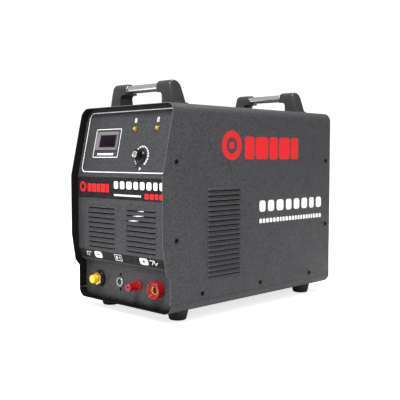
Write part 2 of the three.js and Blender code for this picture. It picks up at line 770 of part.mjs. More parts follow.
// Main breaker: a body that fills its window, and a rocking handle on a cross axle.
function makeBreakerBody() {
  const half = BREAKER.width / 2;
  const rise = BREAKER.height / 2;
  const body = block([-half, REAR_PANEL - BREAKER.depth, -38], [half, REAR_PANEL - GAP, 38]);
  const nose = block([-half, REAR_PANEL - 5, -rise], [half, rearFace + 5, rise]);
  const well = block([-half + 8, rearFace - 8, -rise + 5], [half - 8, rearFace + 6, rise - 5]);
  return cut(join(body, nose), [well]);
}

function makeBreakerToggle() {
  const half = BREAKER.width / 2 - 9;
  const barrel = rod(6, -half, half, RIGHT, 20);
  const lever = block([-half, 2, -2.5], [half, 17, 2.5]);
  return join(barrel, lever).rotateX(THREE.MathUtils.degToRad(-BREAKER.rest));
}

const [breakerX, breakerZ] = BREAKER.place;
const axlePlace = [breakerX, rearFace - 1, breakerZ];
part(caseFrame, "breaker_body", makeBreakerBody(), BLACK_PLASTIC, [breakerX, 0, breakerZ]);
part(caseFrame, "breaker_toggle", makeBreakerToggle(), BLACK_PLASTIC, axlePlace);

// Mains cable gland: a hexagon under a domed cap, with an open bore for the cable.
function makeGland() {
  const { hex, dome, bore } = GLAND;
  const profile = [[0, -12], [10, -12], [10, 2], [dome, 5], [dome, 12], [8.5, 19], [0, 19]];
  const body = join(rod(hex, GAP, 6, REAR, 6), turned(profile, REAR, 24));
  return cut(body, [rod(bore, -13, 20, REAR)]);
}

// Gas inlet: a hexagon with a hose barb.
function makeInlet() {
  const reach = CASE_LENGTH + REAR_REACH - rearFace;
  const { hex, barb } = INLET;
  const neck = [[0, -14], [6, -14], [6, 2], [barb - 1, 6]];
  const rings = [[barb - 1, 12], [barb, 12], [barb - 1, 17], [barb, 17], [barb - 1, 22], [barb, 22]];
  const tail = turned([...neck, ...rings, [barb - 1.4, reach], [0, reach]], REAR, 16);
  return cut(join(rod(hex, GAP, 7, REAR, 6), tail), [rod(2.4, 0, reach + 1, REAR, 12)]);
}

// Earth stud with its washer and nut.
function makeEarthStud() {
  const washer = rod(EARTH.washer, GAP, 1.6, REAR, 16);
  return join(rod(EARTH.stud, -8, 12, REAR, 12), washer, rod(5.6, 1.4, 6.4, REAR, 6));
}

function rearPlace([across, height]) {
  return [across, rearFace, height];
}

part(caseFrame, "cable_gland", makeGland(), BLACK_PLASTIC, rearPlace(GLAND.place));
part(caseFrame, "gas_inlet", makeInlet(), BRASS, rearPlace(INLET.place));
part(caseFrame, "earth_stud", makeEarthStud(), STEEL, rearPlace(EARTH.place));

// ---------------------------------------------------------------- inside

// A deck on two side legs carries the power stage above the magnetics.
function makeDeck() {
  const { level, half, front, rear } = DECK;
  const low = SHEET + GAP;
  return join(
    block([-half, front, level], [half, rear, level + 2]),
    block([-half, front, low], [-half + 2, rear, level + 1]),
    block([half - 2, front, low], [half, rear, level + 1]),
  );
}

// A comb of fins standing on a base plate.
function makeHeatSink() {
  const fins = 12;
  const pitch = 14;
  const base = block([-84, 150, DECK.level + 2 + GAP], [84, 400, DECK.level + 10]);
  const comb = [];
  for (let index = 0; index < fins; index++) {
    const x = (index - (fins - 1) / 2) * pitch;
    comb.push(block([x - 1.5, 150, DECK.level + 8], [x + 1.5, 400, DECK.level + 60]));
  }
  return join(base, ...comb);
}

function makePowerBoard() {
  const level = DECK.level + 60 + GAP;
  const board = block([-100, 140, level], [100, 410, level + 2]);
  const capacitors = [-60, -20, 20, 60].flatMap((x) =>
    [200, 250].map((y) => rod(16, level + 1, level + 55, UP, 16).translate(x, y, 0)),
  );
  return join(board, ...capacitors);
}

function makeTransformer() {
  const core = cut(block([-45, 250, SHEET + GAP], [45, 350, 90]), [
    block([-30, 240, 20], [-12, 360, 72]),
    block([12, 240, 20], [30, 360, 72]),
  ]);
  return join(core, block([-29, 256, 24], [29, 344, 68]));
}

function makeChoke() {
  return new THREE.TorusGeometry(30, 13, 10, 20).translate(-70, 180, 15.2);
}

function makeSolenoidValve() {
  const body = block([-116, 70, 30], [-78, 96, 58]);
  const coil = rod(13, 56, 92, UP, 16).translate(-97, 83, 0);
  return join(body, coil);
}

part(caseFrame, "inner_deck", makeDeck(), STEEL);
part(caseFrame, "heat_sink", makeHeatSink(), ALUMINIUM);
part(caseFrame, "power_board", makePowerBoard(), CIRCUIT_BOARD);
part(caseFrame, "control_board", block([-90, 78, 230], [90, 79.6, 330]), CIRCUIT_BOARD);
part(caseFrame, "transformer", makeTransformer(), COPPER);
part(caseFrame, "output_choke", makeChoke(), COPPER);
part(caseFrame, "solenoid_valve", makeSolenoidValve(), STEEL);

export default unit;
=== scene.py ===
# %% [markdown]
# A plasma cutter power source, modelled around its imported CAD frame.
# The frame gives every size and place. This lesson builds the looks over it: pressed sheet metal
# with a textured powder coat, moulded handles, sockets, a knob, printed marks and the rear fittings.
# Every new piece starts from a primitive and is shaped with the same operators as by hand.

# %% Load the frame
import math
import random

import bmesh
import bpy
from mathutils import Matrix, Vector


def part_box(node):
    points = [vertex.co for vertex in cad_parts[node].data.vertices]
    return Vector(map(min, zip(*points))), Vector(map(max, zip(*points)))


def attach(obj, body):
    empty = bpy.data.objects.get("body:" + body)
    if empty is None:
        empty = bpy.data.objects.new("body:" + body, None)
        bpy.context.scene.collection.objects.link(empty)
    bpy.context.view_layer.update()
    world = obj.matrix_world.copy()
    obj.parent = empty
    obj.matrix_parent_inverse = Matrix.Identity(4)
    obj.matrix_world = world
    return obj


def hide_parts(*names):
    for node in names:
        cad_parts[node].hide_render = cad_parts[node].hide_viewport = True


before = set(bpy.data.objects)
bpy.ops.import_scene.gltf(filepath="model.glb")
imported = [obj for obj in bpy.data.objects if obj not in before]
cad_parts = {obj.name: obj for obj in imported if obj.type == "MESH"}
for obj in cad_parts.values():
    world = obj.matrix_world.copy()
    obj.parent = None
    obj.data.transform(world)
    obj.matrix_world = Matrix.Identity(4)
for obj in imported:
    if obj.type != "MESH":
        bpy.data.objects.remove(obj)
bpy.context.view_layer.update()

# %% [markdown]
# All measures are written in millimetres and turned into metres by one factor.
# The case has a frame of its own: `behind` counts back from the cover's foremost edge and `up`
# counts from the underside of the base pan, so the numbers read like a drawing of the case.

# %% Units and the case's own frame
MM = 0.001
COVER_LOW, COVER_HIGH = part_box("cover")
PAN_LOW, PAN_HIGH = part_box("base_pan")
NOSE = COVER_LOW.y
UNDERSIDE = PAN_LOW.z
WIDTH = (PAN_HIGH.x - PAN_LOW.x) / MM
HEIGHT = (COVER_HIGH.z - UNDERSIDE) / MM
LENGTH = (COVER_HIGH.y - NOSE) / MM
THROAT = (PAN_LOW.y - NOSE) / MM
HALF = WIDTH / 2
SHEET = 1.5
BEND = 20.0


def at(across, behind, up):
    """A point of the case's frame, in metres in the row's frame."""
    return Vector((across * MM, NOSE + behind * MM, UNDERSIDE + up * MM))


print(f"case {WIDTH:.0f} x {LENGTH:.0f} x {HEIGHT:.0f} mm")

# %% [markdown]
# An operator acts on whatever is selected, so each step starts from a clean selection.
# These small helpers do what a hand does in the viewport: pick one object, enter edit mode,
# pick faces or edges by where they are, and leave again.

# %% Selection helpers
def only(piece):
    """Make one object the only selected and active one."""
    bpy.ops.object.select_all(action="DESELECT")
    piece.select_set(True)
    bpy.context.view_layer.objects.active = piece
    return piece


def named(name):
    """Name the object that an operator has just added."""
    piece = bpy.context.object
    piece.name = name
    piece.data.name = name
    return only(piece)


def pick(piece, kind, test):
    """In edit mode, select the vertices, edges or faces for which test is true."""
    bpy.ops.mesh.select_mode(type={"verts": "VERT", "edges": "EDGE", "faces": "FACE"}[kind])
    bpy.ops.mesh.select_all(action="DESELECT")
    mesh = bmesh.from_edit_mesh(piece.data)
    chosen = [element for element in getattr(mesh, kind) if test(element)]
    for element in chosen:
        element.select_set(True)
    mesh.select_flush_mode()
    bmesh.update_edit_mesh(piece.data)
    return len(chosen)


def mid(edge):
    """The middle point of an edge."""
    return (edge.verts[0].co + edge.verts[1].co) / 2


def runs_along(edge, axis):
    """True for an edge parallel to an axis, 0 to 2."""
    step = edge.verts[1].co - edge.verts[0].co
    return abs(step[axis]) > 0.999 * step.length


print("helpers: only, named, pick, mid, runs_along")

# %% [markdown]
# A finished piece sits at the origin, unturned and unscaled, with its place in its mesh. So
# modifiers, place, turn and scale are applied after each step. Extruding and spinning can leave
# doubles or faces that point inwards, and `recalculate` puts both right.

# %% Applying helpers
def apply_all(piece):
    """Apply every modifier and the object's own place, turn and scale."""
    only(piece)
    for modifier in list(piece.modifiers):
        bpy.ops.object.modifier_apply(modifier=modifier.name)
    bpy.ops.object.transform_apply(location=True, rotation=True, scale=True)
    return piece


def recalculate(piece):
    """Merge doubles and point every face outwards."""
    only(piece)
    bpy.ops.object.mode_set(mode="EDIT")
    bpy.ops.mesh.select_all(action="SELECT")
    bpy.ops.mesh.remove_doubles(threshold=1e-6)
    bpy.ops.mesh.normals_make_consistent(inside=False)
    bpy.ops.object.mode_set(mode="OBJECT")
    return piece


print("helpers: apply_all, recalculate")

# %% [markdown]
# Most machined and moulded edges have a small radius, and that radius is what catches the light.
# `soften` adds it with a Bevel modifier on every edge sharper than the angle, then shades the
# rest smooth. `cut_with` takes one shape out of another with a Boolean modifier.

# %% Modifier helpers
def soften(piece, width, angle=32, segments=2):
    """Round every edge sharper than the angle by a width in millimetres, and smooth the rest."""
    bevel = piece.modifiers.new("edge radius", "BEVEL")
    bevel.width = width * MM
    bevel.segments = segments
    bevel.limit_method = "ANGLE"
    bevel.angle_limit = math.radians(angle)
    bevel.use_clamp_overlap = True
    apply_all(piece)
    bpy.ops.object.shade_smooth_by_angle(angle=math.radians(angle))
    return piece


def cut_with(piece, tool):
    """Take the tool's shape out of a piece, and remove the tool."""
    modifier = piece.modifiers.new("cut", "BOOLEAN")
    modifier.operation = "DIFFERENCE"
    modifier.object = tool
    modifier.solver = "EXACT"
    apply_all(piece)
    bpy.data.objects.remove(tool)
    return piece


def joined(name, pieces):
    """Several objects as one."""
    bpy.ops.object.select_all(action="DESELECT")
    for piece in pieces:
        piece.select_set(True)
    bpy.context.view_layer.objects.active = pieces[0]
    if len(pieces) > 1:
        bpy.ops.object.join()
    return named(name)


def copied(piece, name, move=(0, 0, 0), matrix=None):
    """A copy with its own mesh, moved in its mesh so that the object stays at the origin."""
    twin = piece.copy()
    twin.data = piece.data.copy()
    twin.name = name
    twin.data.name = name
    bpy.context.scene.collection.objects.link(twin)
    twin.data.transform(matrix if matrix is not None else Matrix.Translation(Vector(move)))
    return twin


print("helpers: soften, cut_with, joined, copied")

# %% [markdown]
# Two starts cover nearly every piece. `brick` is a cube primitive stretched between two corners.
# `turned` is a lathe job done by hand: a circle is extruded ring by ring, each ring scaled to its
# radius, and the open ends are filled. Its axis is +Z until `aim` turns it to its place.

# %% Primitive helpers
def brick(name, low, high):
    """A cube primitive between two corners of the case's frame, in millimetres."""
    low, high = at(*low), at(*high)
    bpy.ops.mesh.primitive_cube_add(size=1, location=(low + high) / 2)
    piece = named(name)
    piece.scale = high - low
    return apply_all(piece)


def turned(name, profile, sides=40):
    """A round piece on +Z. profile is [(radius, height), ...] in millimetres."""
    profile = [(max(radius, 0.02), height) for radius, height in profile]
    radius, height = profile[0]
    bpy.ops.mesh.primitive_circle_add(vertices=sides, radius=radius * MM, location=(0, 0, height * MM))
    piece = apply_all(named(name))
    bpy.ops.object.mode_set(mode="EDIT")
    bpy.ops.mesh.select_mode(type="EDGE")
    bpy.ops.mesh.select_all(action="SELECT")
    for next_radius, next_height in profile[1:]:
        rise = (0, 0, (next_height - height) * MM)
        bpy.ops.mesh.extrude_edges_move(TRANSFORM_OT_translate={"value": rise})
        grow = next_radius / radius
        bpy.ops.transform.resize(value=(grow, grow, 1), center_override=(0, 0, 0))
        radius, height = next_radius, next_height
    bpy.ops.mesh.select_all(action="SELECT")
    bpy.ops.mesh.remove_doubles(threshold=1e-6)
    bpy.ops.mesh.select_all(action="DESELECT")
    bpy.ops.mesh.select_non_manifold(extend=False)
    bpy.ops.mesh.fill_holes(sides=0)
    bpy.ops.object.mode_set(mode="OBJECT")
    return recalculate(piece)


FORWARD = Vector((0, -1, 0))
BACKWARD = Vector((0, 1, 0))
UPWARD = Vector((0, 0, 1))
RIGHT = Vector((1, 0, 0))
LEFT = Vector((-1, 0, 0))


def aim(piece, place, direction, roll=0):
    """Turn a piece from +Z to a direction, roll it about that, and put it in its place."""
    swing = Vector((0, 0, 1)).rotation_difference(Vector(direction)).to_matrix().to_4x4()
    spin = Matrix.Rotation(math.radians(roll), 4, "Z")
    piece.data.transform(Matrix.Translation(Vector(place)) @ swing @ spin)
    return piece


print("helpers: brick, turned, aim")

# %% [markdown]
# A flat outline, such as a sheet blank or a printed mark, starts as a plane whose corners are
# rounded with a vertex bevel. `plate` does that round the origin and extrudes it along +Z, and
# `outline` leaves only its rim. A matrix then carries the piece to its face.

# %% Flat outlines
def plate(name, width, height, thick, radius=0, segments=6):
    """A plate on the XY plane round the origin, `thick` along +Z, with rounded corners."""
    bpy.ops.mesh.primitive_plane_add(size=1)
    piece = named(name)
    piece.scale = (width * MM, height * MM, 1)
    apply_all(piece)
    bpy.ops.object.mode_set(mode="EDIT")
    bpy.ops.mesh.select_all(action="SELECT")
    if radius:
        bpy.ops.mesh.bevel(offset=radius * MM, segments=segments, affect="VERTICES")
        bpy.ops.mesh.select_all(action="SELECT")
    if thick:
        bpy.ops.mesh.extrude_region_move(TRANSFORM_OT_translate={"value": (0, 0, thick * MM)})
        bpy.ops.mesh.select_all(action="SELECT")
        bpy.ops.mesh.normals_make_consistent(inside=False)
    bpy.ops.object.mode_set(mode="OBJECT")
    return piece


def outline(name, width, height, line, thick, radius=0, segments=6):
    """A flat frame: a plate's outline of one line width."""
    piece = plate(name, width, height, 0, radius, segments)
    bpy.ops.object.mode_set(mode="EDIT")
    bpy.ops.mesh.select_all(action="SELECT")
    bpy.ops.mesh.inset(thickness=line * MM, depth=0)
    bpy.ops.mesh.delete(type="FACE")
    bpy.ops.mesh.select_all(action="SELECT")
    bpy.ops.mesh.extrude_region_move(TRANSFORM_OT_translate={"value": (0, 0, thick * MM)})
    bpy.ops.mesh.select_all(action="SELECT")
    bpy.ops.mesh.normals_make_consistent(inside=False)
    bpy.ops.object.mode_set(mode="OBJECT")
    return piece


print("helpers: plate, outline")

# %% [markdown]
# ## Finishes
# Each finish is a Principled BSDF fed by small procedural patterns on Object coordinates, so that
# a pattern keeps its real size on every piece. Three patterns are shared by many finishes and are
# therefore node groups: `grain` for moulded and coated surfaces, `brushing` for machined metal,
# and `edge wear`, which finds raised edges. A group only puts out values; the shader stays outside.

# %% Node helpers
def node(tree, kind, **values):
    """A new node; values name its properties or its input sockets."""
    new = tree.nodes.new(kind)
    for key, value in values.items():
        if hasattr(new, key):
            setattr(new, key, value)
        else:
            new.inputs[key.replace("_", " ")].default_value = value
    return new


def group_of(name, inputs, outputs):
    """An empty shader group with float inputs, given as {name: default}, and float outputs."""
    tree = bpy.data.node_groups.new(name, "ShaderNodeTree")
    for label, default in inputs.items():
        socket = tree.interface.new_socket(label, in_out="INPUT", socket_type="NodeSocketFloat")
        socket.default_value = default
    for label in outputs:
        tree.interface.new_socket(label, in_out="OUTPUT", socket_type="NodeSocketFloat")
    return tree, tree.nodes.new("NodeGroupInput"), tree.nodes.new("NodeGroupOutput")


def ramp(tree, source, low, high):
    """A value stretched so that low becomes 0 and high becomes 1."""
    stretch = node(tree, "ShaderNodeMapRange", clamp=True)
    stretch.inputs["From Min"].default_value = low
    stretch.inputs["From Max"].default_value = high
    tree.links.new(source, stretch.inputs["Value"])
    return stretch.outputs["Result"]


print("helpers: node, group_of, ramp")

# %% [markdown]
# `grain` is two noises of different size: a fine one for the bumps of a coat or a moulding, and
# a cloudy one that shifts the tone a little over centimetres, as handling and light dust do.

# %% The grain group
grain_group, source, sink = group_of(
    "grain", {"Fine size": 900.0, "Cloud size": 30.0}, ["Height", "Cloud", "Speck"])
coordinates = node(grain_group, "ShaderNodeTexCoord")
fine = node(grain_group, "ShaderNodeTexNoise", Detail=3.0, Roughness=0.6)
cloud = node(grain_group, "ShaderNodeTexNoise", Detail=4.0, Roughness=0.55)
for noise, size in [(fine, "Fine size"), (cloud, "Cloud size")]:
    grain_group.links.new(coordinates.outputs["Object"], noise.inputs["Vector"])
    grain_group.links.new(source.outputs[size], noise.inputs["Scale"])
grain_group.links.new(ramp(grain_group, fine.outputs["Fac"], 0.3, 0.7), sink.inputs["Height"])
grain_group.links.new(ramp(grain_group, cloud.outputs["Fac"], 0.3, 0.7), sink.inputs["Cloud"])
grain_group.links.new(ramp(grain_group, fine.outputs["Fac"], 0.62, 0.75), sink.inputs["Speck"])
print("group:", grain_group.name)

# %% [markdown]
# `brushing` stretches a noise along one axis. Its long thin streaks vary the roughness and the
# tone of machined brass, plated steel and aluminium, which would otherwise look like paint.

# %% The brushing group
brushing_group, source, sink = group_of(
    "brushing", {"Across": 2500.0, "Along": 60.0}, ["Streak", "Stain"])
coordinates = node(brushing_group, "ShaderNodeTexCoord")
stretch = node(brushing_group, "ShaderNodeCombineXYZ")
stretch_by = node(brushing_group, "ShaderNodeVectorMath", operation="MULTIPLY")
for axis, size in [("X", "Across"), ("Y", "Along"), ("Z", "Across")]:
    brushing_group.links.new(source.outputs[size], stretch.inputs[axis])
brushing_group.links.new(coordinates.outputs["Object"], stretch_by.inputs[0])
brushing_group.links.new(stretch.outputs["Vector"], stretch_by.inputs[1])
streak = node(brushing_group, "ShaderNodeTexNoise", Scale=1.0, Detail=2.0)
stain = node(brushing_group, "ShaderNodeTexNoise", Scale=140.0, Detail=3.0)
brushing_group.links.new(stretch_by.outputs["Vector"], streak.inputs["Vector"])
brushing_group.links.new(coordinates.outputs["Object"], stain.inputs["Vector"])
brushing_group.links.new(ramp(brushing_group, streak.outputs["Fac"], 0.3, 0.7), sink.inputs["Streak"])
brushing_group.links.new(ramp(brushing_group, stain.outputs["Fac"], 0.35, 0.7), sink.inputs["Stain"])
print("group:", brushing_group.name)

# %% [markdown]
# `edge wear` reads Pointiness, which is high where a surface is convex. Broken up by a noise it
# gives the thin, uneven light line that coated and moulded edges have after some use. Turned up on
# the handles, the same line is also a painted highlight along their edges.

# %% The edge wear group
edge_wear_and_highlight, source, sink = group_of("edge wear", {"Start": 0.53, "End": 0.62}, ["Wear"])
geometry = node(edge_wear_and_highlight, "ShaderNodeNewGeometry")
coordinates = node(edge_wear_and_highlight, "ShaderNodeTexCoord")
patchy = node(edge_wear_and_highlight, "ShaderNodeTexNoise", Scale=220.0, Detail=3.0)
raised = node(edge_wear_and_highlight, "ShaderNodeMapRange", clamp=True)
both = node(edge_wear_and_highlight, "ShaderNodeMath", operation="MULTIPLY")
edge_wear_and_highlight.links.new(coordinates.outputs["Object"], patchy.inputs["Vector"])
edge_wear_and_highlight.links.new(geometry.outputs["Pointiness"], raised.inputs["Value"])
edge_wear_and_highlight.links.new(source.outputs["Start"], raised.inputs["From Min"])
edge_wear_and_highlight.links.new(source.outputs["End"], raised.inputs["From Max"])
edge_wear_and_highlight.links.new(raised.outputs["Result"], both.inputs[0])
edge_wear_and_highlight.links.new(ramp(edge_wear_and_highlight, patchy.outputs["Fac"], 0.3, 0.6), both.inputs[1])
edge_wear_and_highlight.links.new(both.outputs[0], sink.inputs["Wear"])
print("group:", edge_wear_and_highlight.name)

# %% [markdown]
# A material starts from this function. Constants go straight onto the shader's own sockets;
# only what varies over the surface is linked in.

# %% Material helpers
finishes = {}


def new_finish(name, **constants):
    """A material and its Principled BSDF, remembered in `finishes` by name."""
    material = bpy.data.materials.new(name)
    material.use_nodes = True
    tree = material.node_tree
    principled = tree.nodes["Principled BSDF"]
    for key, value in constants.items():
        principled.inputs[key.replace("_", " ")].default_value = value
    finishes[name] = material
    return tree, principled


def use(tree, group, **values):
    """One of the shared groups, placed in a material with its own values."""
    placed = tree.nodes.new("ShaderNodeGroup")
    placed.node_tree = group
    for key, value in values.items():
        placed.inputs[key.replace("_", " ")].default_value = value
    return placed


def blend_colour(tree, factor, first, second):
    """A colour that goes from first to second, each a colour or another node's output."""
    mix = node(tree, "ShaderNodeMix", data_type="RGBA")
    tree.links.new(factor, mix.inputs["Factor"])
    for socket, value in [(mix.inputs[6], first), (mix.inputs[7], second)]:
        if isinstance(value, tuple):
            socket.default_value = (*value, 1)
        else:
            tree.links.new(value, socket)
    return mix.outputs[2]


def blend_value(tree, factor, first, second):
    """A value that goes from first to second as factor goes from 0 to 1."""
    spread = node(tree, "ShaderNodeMapRange")
    spread.inputs["To Min"].default_value = first
    spread.inputs["To Max"].default_value = second
    tree.links.new(factor, spread.inputs["Value"])
    return spread.outputs["Result"]


def bump(tree, principled, height, depth, strength=1.0):
    """Small relief, depth in millimetres."""
    relief = node(tree, "ShaderNodeBump", Strength=strength, Distance=depth * MM)
    tree.links.new(height, relief.inputs["Height"])
    tree.links.new(relief.outputs["Normal"], principled.inputs["Normal"])


print("helpers: new_finish, use, blend_colour, blend_value, bump")

# %% [markdown]
# The case has a textured powder coat: charcoal, satin, with an orange-peel relief a millimetre
# or two across. A fine mottle of dark and light sits in the same relief, so the large flat sides
# never look like plain grey paper. The same recipe makes three more coats: a light one for the
# cover's front edge, partly thin coat and partly painted highlight, a near-black painted shade for
# the inner sides, and the black ground of the printed strips.

# %% Powder coat
def powder_coat(name, dark, light, worn, roughness=0.5, relief=0.10, gloss=0.22):
    """A coat whose mottle runs from dark to light, worn to a third colour on raised edges."""
    tree, principled = new_finish(name, IOR=1.5, Specular_IOR_Level=gloss)
    grain = use(tree, grain_group, Fine_size=520.0, Cloud_size=26.0)
    wear = use(tree, edge_wear_and_highlight, Start=0.56, End=0.72)
    mottle = use(tree, grain_group, Fine_size=390.0, Cloud_size=9.0)
    tone = blend_colour(tree, mottle.outputs["Height"], dark, light)
    even = tuple(0.5 * (first + second) for first, second in zip(dark, light))
    calm = blend_value(tree, mottle.outputs["Cloud"], 0.0, 0.3)
    cloudy = blend_colour(tree, calm, tone, even)
    colour = blend_colour(tree, wear.outputs["Wear"], cloudy, worn)
    tree.links.new(colour, principled.inputs["Base Color"])
    rough = blend_value(tree, grain.outputs["Cloud"], roughness - 0.05, roughness + 0.08)
    tree.links.new(rough, principled.inputs["Roughness"])
    bump(tree, principled, mottle.outputs["Height"], relief)


powder_coat("case_coat", (0.018, 0.018, 0.020), (0.082, 0.082, 0.088), (0.16, 0.16, 0.17), 0.5, 0.26)
# A light coat on the cover's front edge: partly thin coat, partly a painted highlight.
powder_coat("thin_coat_and_highlight_edge", (0.14, 0.14, 0.145), (0.22, 0.22, 0.225), (0.30, 0.30, 0.31), 0.4, 0.04)
# Near-black painted shade for the inner sides of the sheets.
powder_coat("painted_inner_shade", (0.003, 0.003, 0.003), (0.005, 0.005, 0.006), (0.01, 0.01, 0.01), 0.7, 0.04, 0.1)
powder_coat("strip_coat", (0.002, 0.002, 0.003), (0.007, 0.007, 0.008), (0.03, 0.03, 0.03), 0.5, 0.04, 0.06)
print("finishes:", *finishes)

# %% [markdown]
# Moulded plastics share one recipe: a base colour that clouds slightly, a fine mould grain in
# the bump, and edges that are a little lighter. Roughness and grain set them apart: the handles
# are satin, the feet matt, the sockets and the dust cap smooth.

# %% Moulded plastics and rubber
def moulded(name, colour, roughness, grain_size=1200.0, relief=0.03, wear=0.25, coat=0.0, gloss=0.5):
    """A plastic or rubber of one colour with a mould grain."""
    tree, principled = new_finish(
        name, IOR=1.49, Coat_Weight=coat, Coat_Roughness=0.08, Specular_IOR_Level=gloss)
    grain = use(tree, grain_group, Fine_size=grain_size, Cloud_size=45.0)
    worn = use(tree, edge_wear_and_highlight, Start=0.54, End=0.68)
    darker = tuple(0.86 * channel for channel in colour)
    lighter = tuple(channel + wear * (0.5 - 0.5 * channel) for channel in colour)
    clouded = blend_colour(tree, grain.outputs["Cloud"], colour, darker)
    faint = blend_value(tree, worn.outputs["Wear"], 0.0, 0.45)
    tree.links.new(blend_colour(tree, faint, clouded, lighter), principled.inputs["Base Color"])
    rough = blend_value(tree, grain.outputs["Cloud"], roughness - 0.04, roughness + 0.07)
    tree.links.new(rough, principled.inputs["Roughness"])
    bump(tree, principled, grain.outputs["Height"], relief)


# The handles' edges are lightened more (0.4): partly wear, partly a painted highlight along their front
# edges.
moulded("handle_plastic", (0.032, 0.032, 0.034), 0.36, 1500.0, 0.03, 0.4, 0.25, 0.5)
moulded("foot_rubber", (0.018, 0.018, 0.019), 0.55, 900.0, 0.05, 0.10, gloss=0.25)
moulded("black_plastic", (0.004, 0.004, 0.005), 0.28, 1500.0, 0.02, 0.12, gloss=0.28)
moulded("toggle_plastic", (0.012, 0.012, 0.012), 0.38, 1500.0, 0.02, 0.15)
moulded("meter_bezel", (0.19, 0.17, 0.19), 0.22, 1500.0, 0.01, 0.5, 0.4)
moulded("red_plastic", (0.36, 0.005, 0.010), 0.22, 1300.0, 0.02, 0.25, 0.3, 0.35)
moulded("yellow_plastic", (0.90, 0.62, 0.012), 0.24, 1300.0, 0.02, 0.25, 0.4)
print("finishes:", len(finishes))

# %% [markdown]
# Metals are told apart by colour and by their streaks. Brass stains warm and dark in the
# hollows, plated steel stays cool, and the chrome is almost a mirror with faint wiping marks.
# The blackened screws and the boards' solder mask are coatings, so they use the plastics' recipe.

# %% Metals
def metal(name, colour, stain, smooth, rough, along=60.0, relief=0.006):
    """A machined or plated metal: two tones, and a roughness between two values."""
    tree, principled = new_finish(name, Metallic=1.0)
    brushing = use(tree, brushing_group, Across=2200.0, Along=along)
    tinted = blend_colour(tree, brushing.outputs["Stain"], colour, stain)
    tree.links.new(tinted, principled.inputs["Base Color"])
    streaked = blend_value(tree, brushing.outputs["Streak"], smooth, rough)
    tree.links.new(streaked, principled.inputs["Roughness"])
    bump(tree, principled, brushing.outputs["Streak"], relief)


metal("chrome", (0.92, 0.93, 0.95), (0.86, 0.87, 0.90), 0.10, 0.22, 30.0, 0.002)
metal("brass", (0.80, 0.56, 0.20), (0.62, 0.40, 0.13), 0.18, 0.36)
metal("aluminium", (0.88, 0.88, 0.90), (0.74, 0.74, 0.77), 0.24, 0.42)
metal("gilt", (0.40, 0.27, 0.05), (0.26, 0.16, 0.03), 0.2, 0.36)
metal("steel", (0.56, 0.56, 0.58), (0.46, 0.46, 0.48), 0.24, 0.42)
metal("dull_aluminium", (0.34, 0.34, 0.35), (0.24, 0.24, 0.25), 0.3, 0.5)
metal("dark_steel", (0.05, 0.05, 0.052), (0.03, 0.03, 0.032), 0.4, 0.6)
metal("winding_copper", (0.60, 0.26, 0.12), (0.36, 0.15, 0.07), 0.28, 0.46, 400.0, 0.02)
moulded("black_steel", (0.002, 0.002, 0.002), 0.14, 1600.0, 0.01, 0.2, gloss=0.10)
moulded("circuit_board", (0.020, 0.095, 0.045), 0.35, 500.0, 0.05, 0.1)
print("finishes:", len(finishes))

# %% [markdown]
# Clear and tinted plastic windows. The smoked lens is dark and glossy with a hint of violet. The lamp
# lenses are amber, clouded between a deeper and a paler tone, and a weak emission makes them glow:
# a painted glow for the light their moulded facets gather.

# %% Lenses
tree, principled = new_finish("smoked_lens", IOR=1.5, Specular_IOR_Level=0.08)
grain = use(tree, grain_group, Fine_size=2000.0, Cloud_size=40.0)
smoke = blend_colour(tree, grain.outputs["Cloud"], (0.007, 0.003, 0.008), (0.012, 0.006, 0.014))
tree.links.new(smoke, principled.inputs["Base Color"])
tree.links.new(blend_value(tree, grain.outputs["Cloud"], 0.22, 0.32), principled.inputs["Roughness"])

# Painted glow: the weak amber emission stands for light gathered in the lens's facets.
tree, principled = new_finish("amber_lens", IOR=1.5, Emission_Strength=0.08, Coat_Weight=0.8,
                              Coat_Roughness=0.05)
grain = use(tree, grain_group, Fine_size=900.0, Cloud_size=260.0)
amber = blend_colour(tree, grain.outputs["Cloud"], (0.40, 0.30, 0.04), (0.64, 0.56, 0.20))
tree.links.new(amber, principled.inputs["Base Color"])
tree.links.new(amber, principled.inputs["Emission Color"])
tree.links.new(blend_value(tree, grain.outputs["Height"], 0.08, 0.2), principled.inputs["Roughness"])
print("finishes:", len(finishes))

# %% [markdown]
# Screen-printed ink is an opaque film. Here and there it covers the textured coat less fully,
# so specks of a duller tone come through. The rating plate's film uses the same recipe.

# %% Inks
def ink(name, colour, thin):
    """Screen-printed ink: slightly uneven cover over the coat below."""
    tree, principled = new_finish(name, IOR=1.45, Specular_IOR_Level=0.2)
    grain = use(tree, grain_group, Fine_size=1400.0, Cloud_size=120.0)
    cover_tone = blend_colour(tree, grain.outputs["Speck"], colour, thin)
    tree.links.new(cover_tone, principled.inputs["Base Color"])
    tree.links.new(blend_value(tree, grain.outputs["Cloud"], 0.34, 0.5), principled.inputs["Roughness"])
    bump(tree, principled, grain.outputs["Height"], 0.015)


ink("white_ink", (0.94, 0.94, 0.95), (0.74, 0.74, 0.76))
ink("red_ink", (0.74, 0.016, 0.020), (0.60, 0.012, 0.016))
ink("black_ink", (0.012, 0.012, 0.013), (0.030, 0.030, 0.032))
ink("label_film", (0.60, 0.61, 0.62), (0.52, 0.53, 0.55))
print("finishes:", len(finishes))

# %% [markdown]
# `fit` is the last step of every piece: it takes its finish and its place in the moving frame,
# and hides the CAD nodes it stands for.

# %% Fitting a piece to the frame
made = []


def fit(piece, finish, body="case", stands_for=()):
    """Give a piece its finish and its body, and hide the CAD nodes it stands for."""
    piece.data.materials.clear()
    piece.data.materials.append(finishes[finish])
    for face in piece.data.polygons:
        face.material_index = 0
    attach(piece, body)
    if stands_for:
        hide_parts(*stands_for)
    made.append(piece.name)
    return piece


# %% [markdown]
# ## The case
# The cover is one sheet bent over the top: a cube with its two long top edges rounded and its
# bottom, front and rear left open. Its front edge follows the nose's side view, which a few
# bisects cut out of the flat sides. Solidify then gives the sheet its thickness inwards.

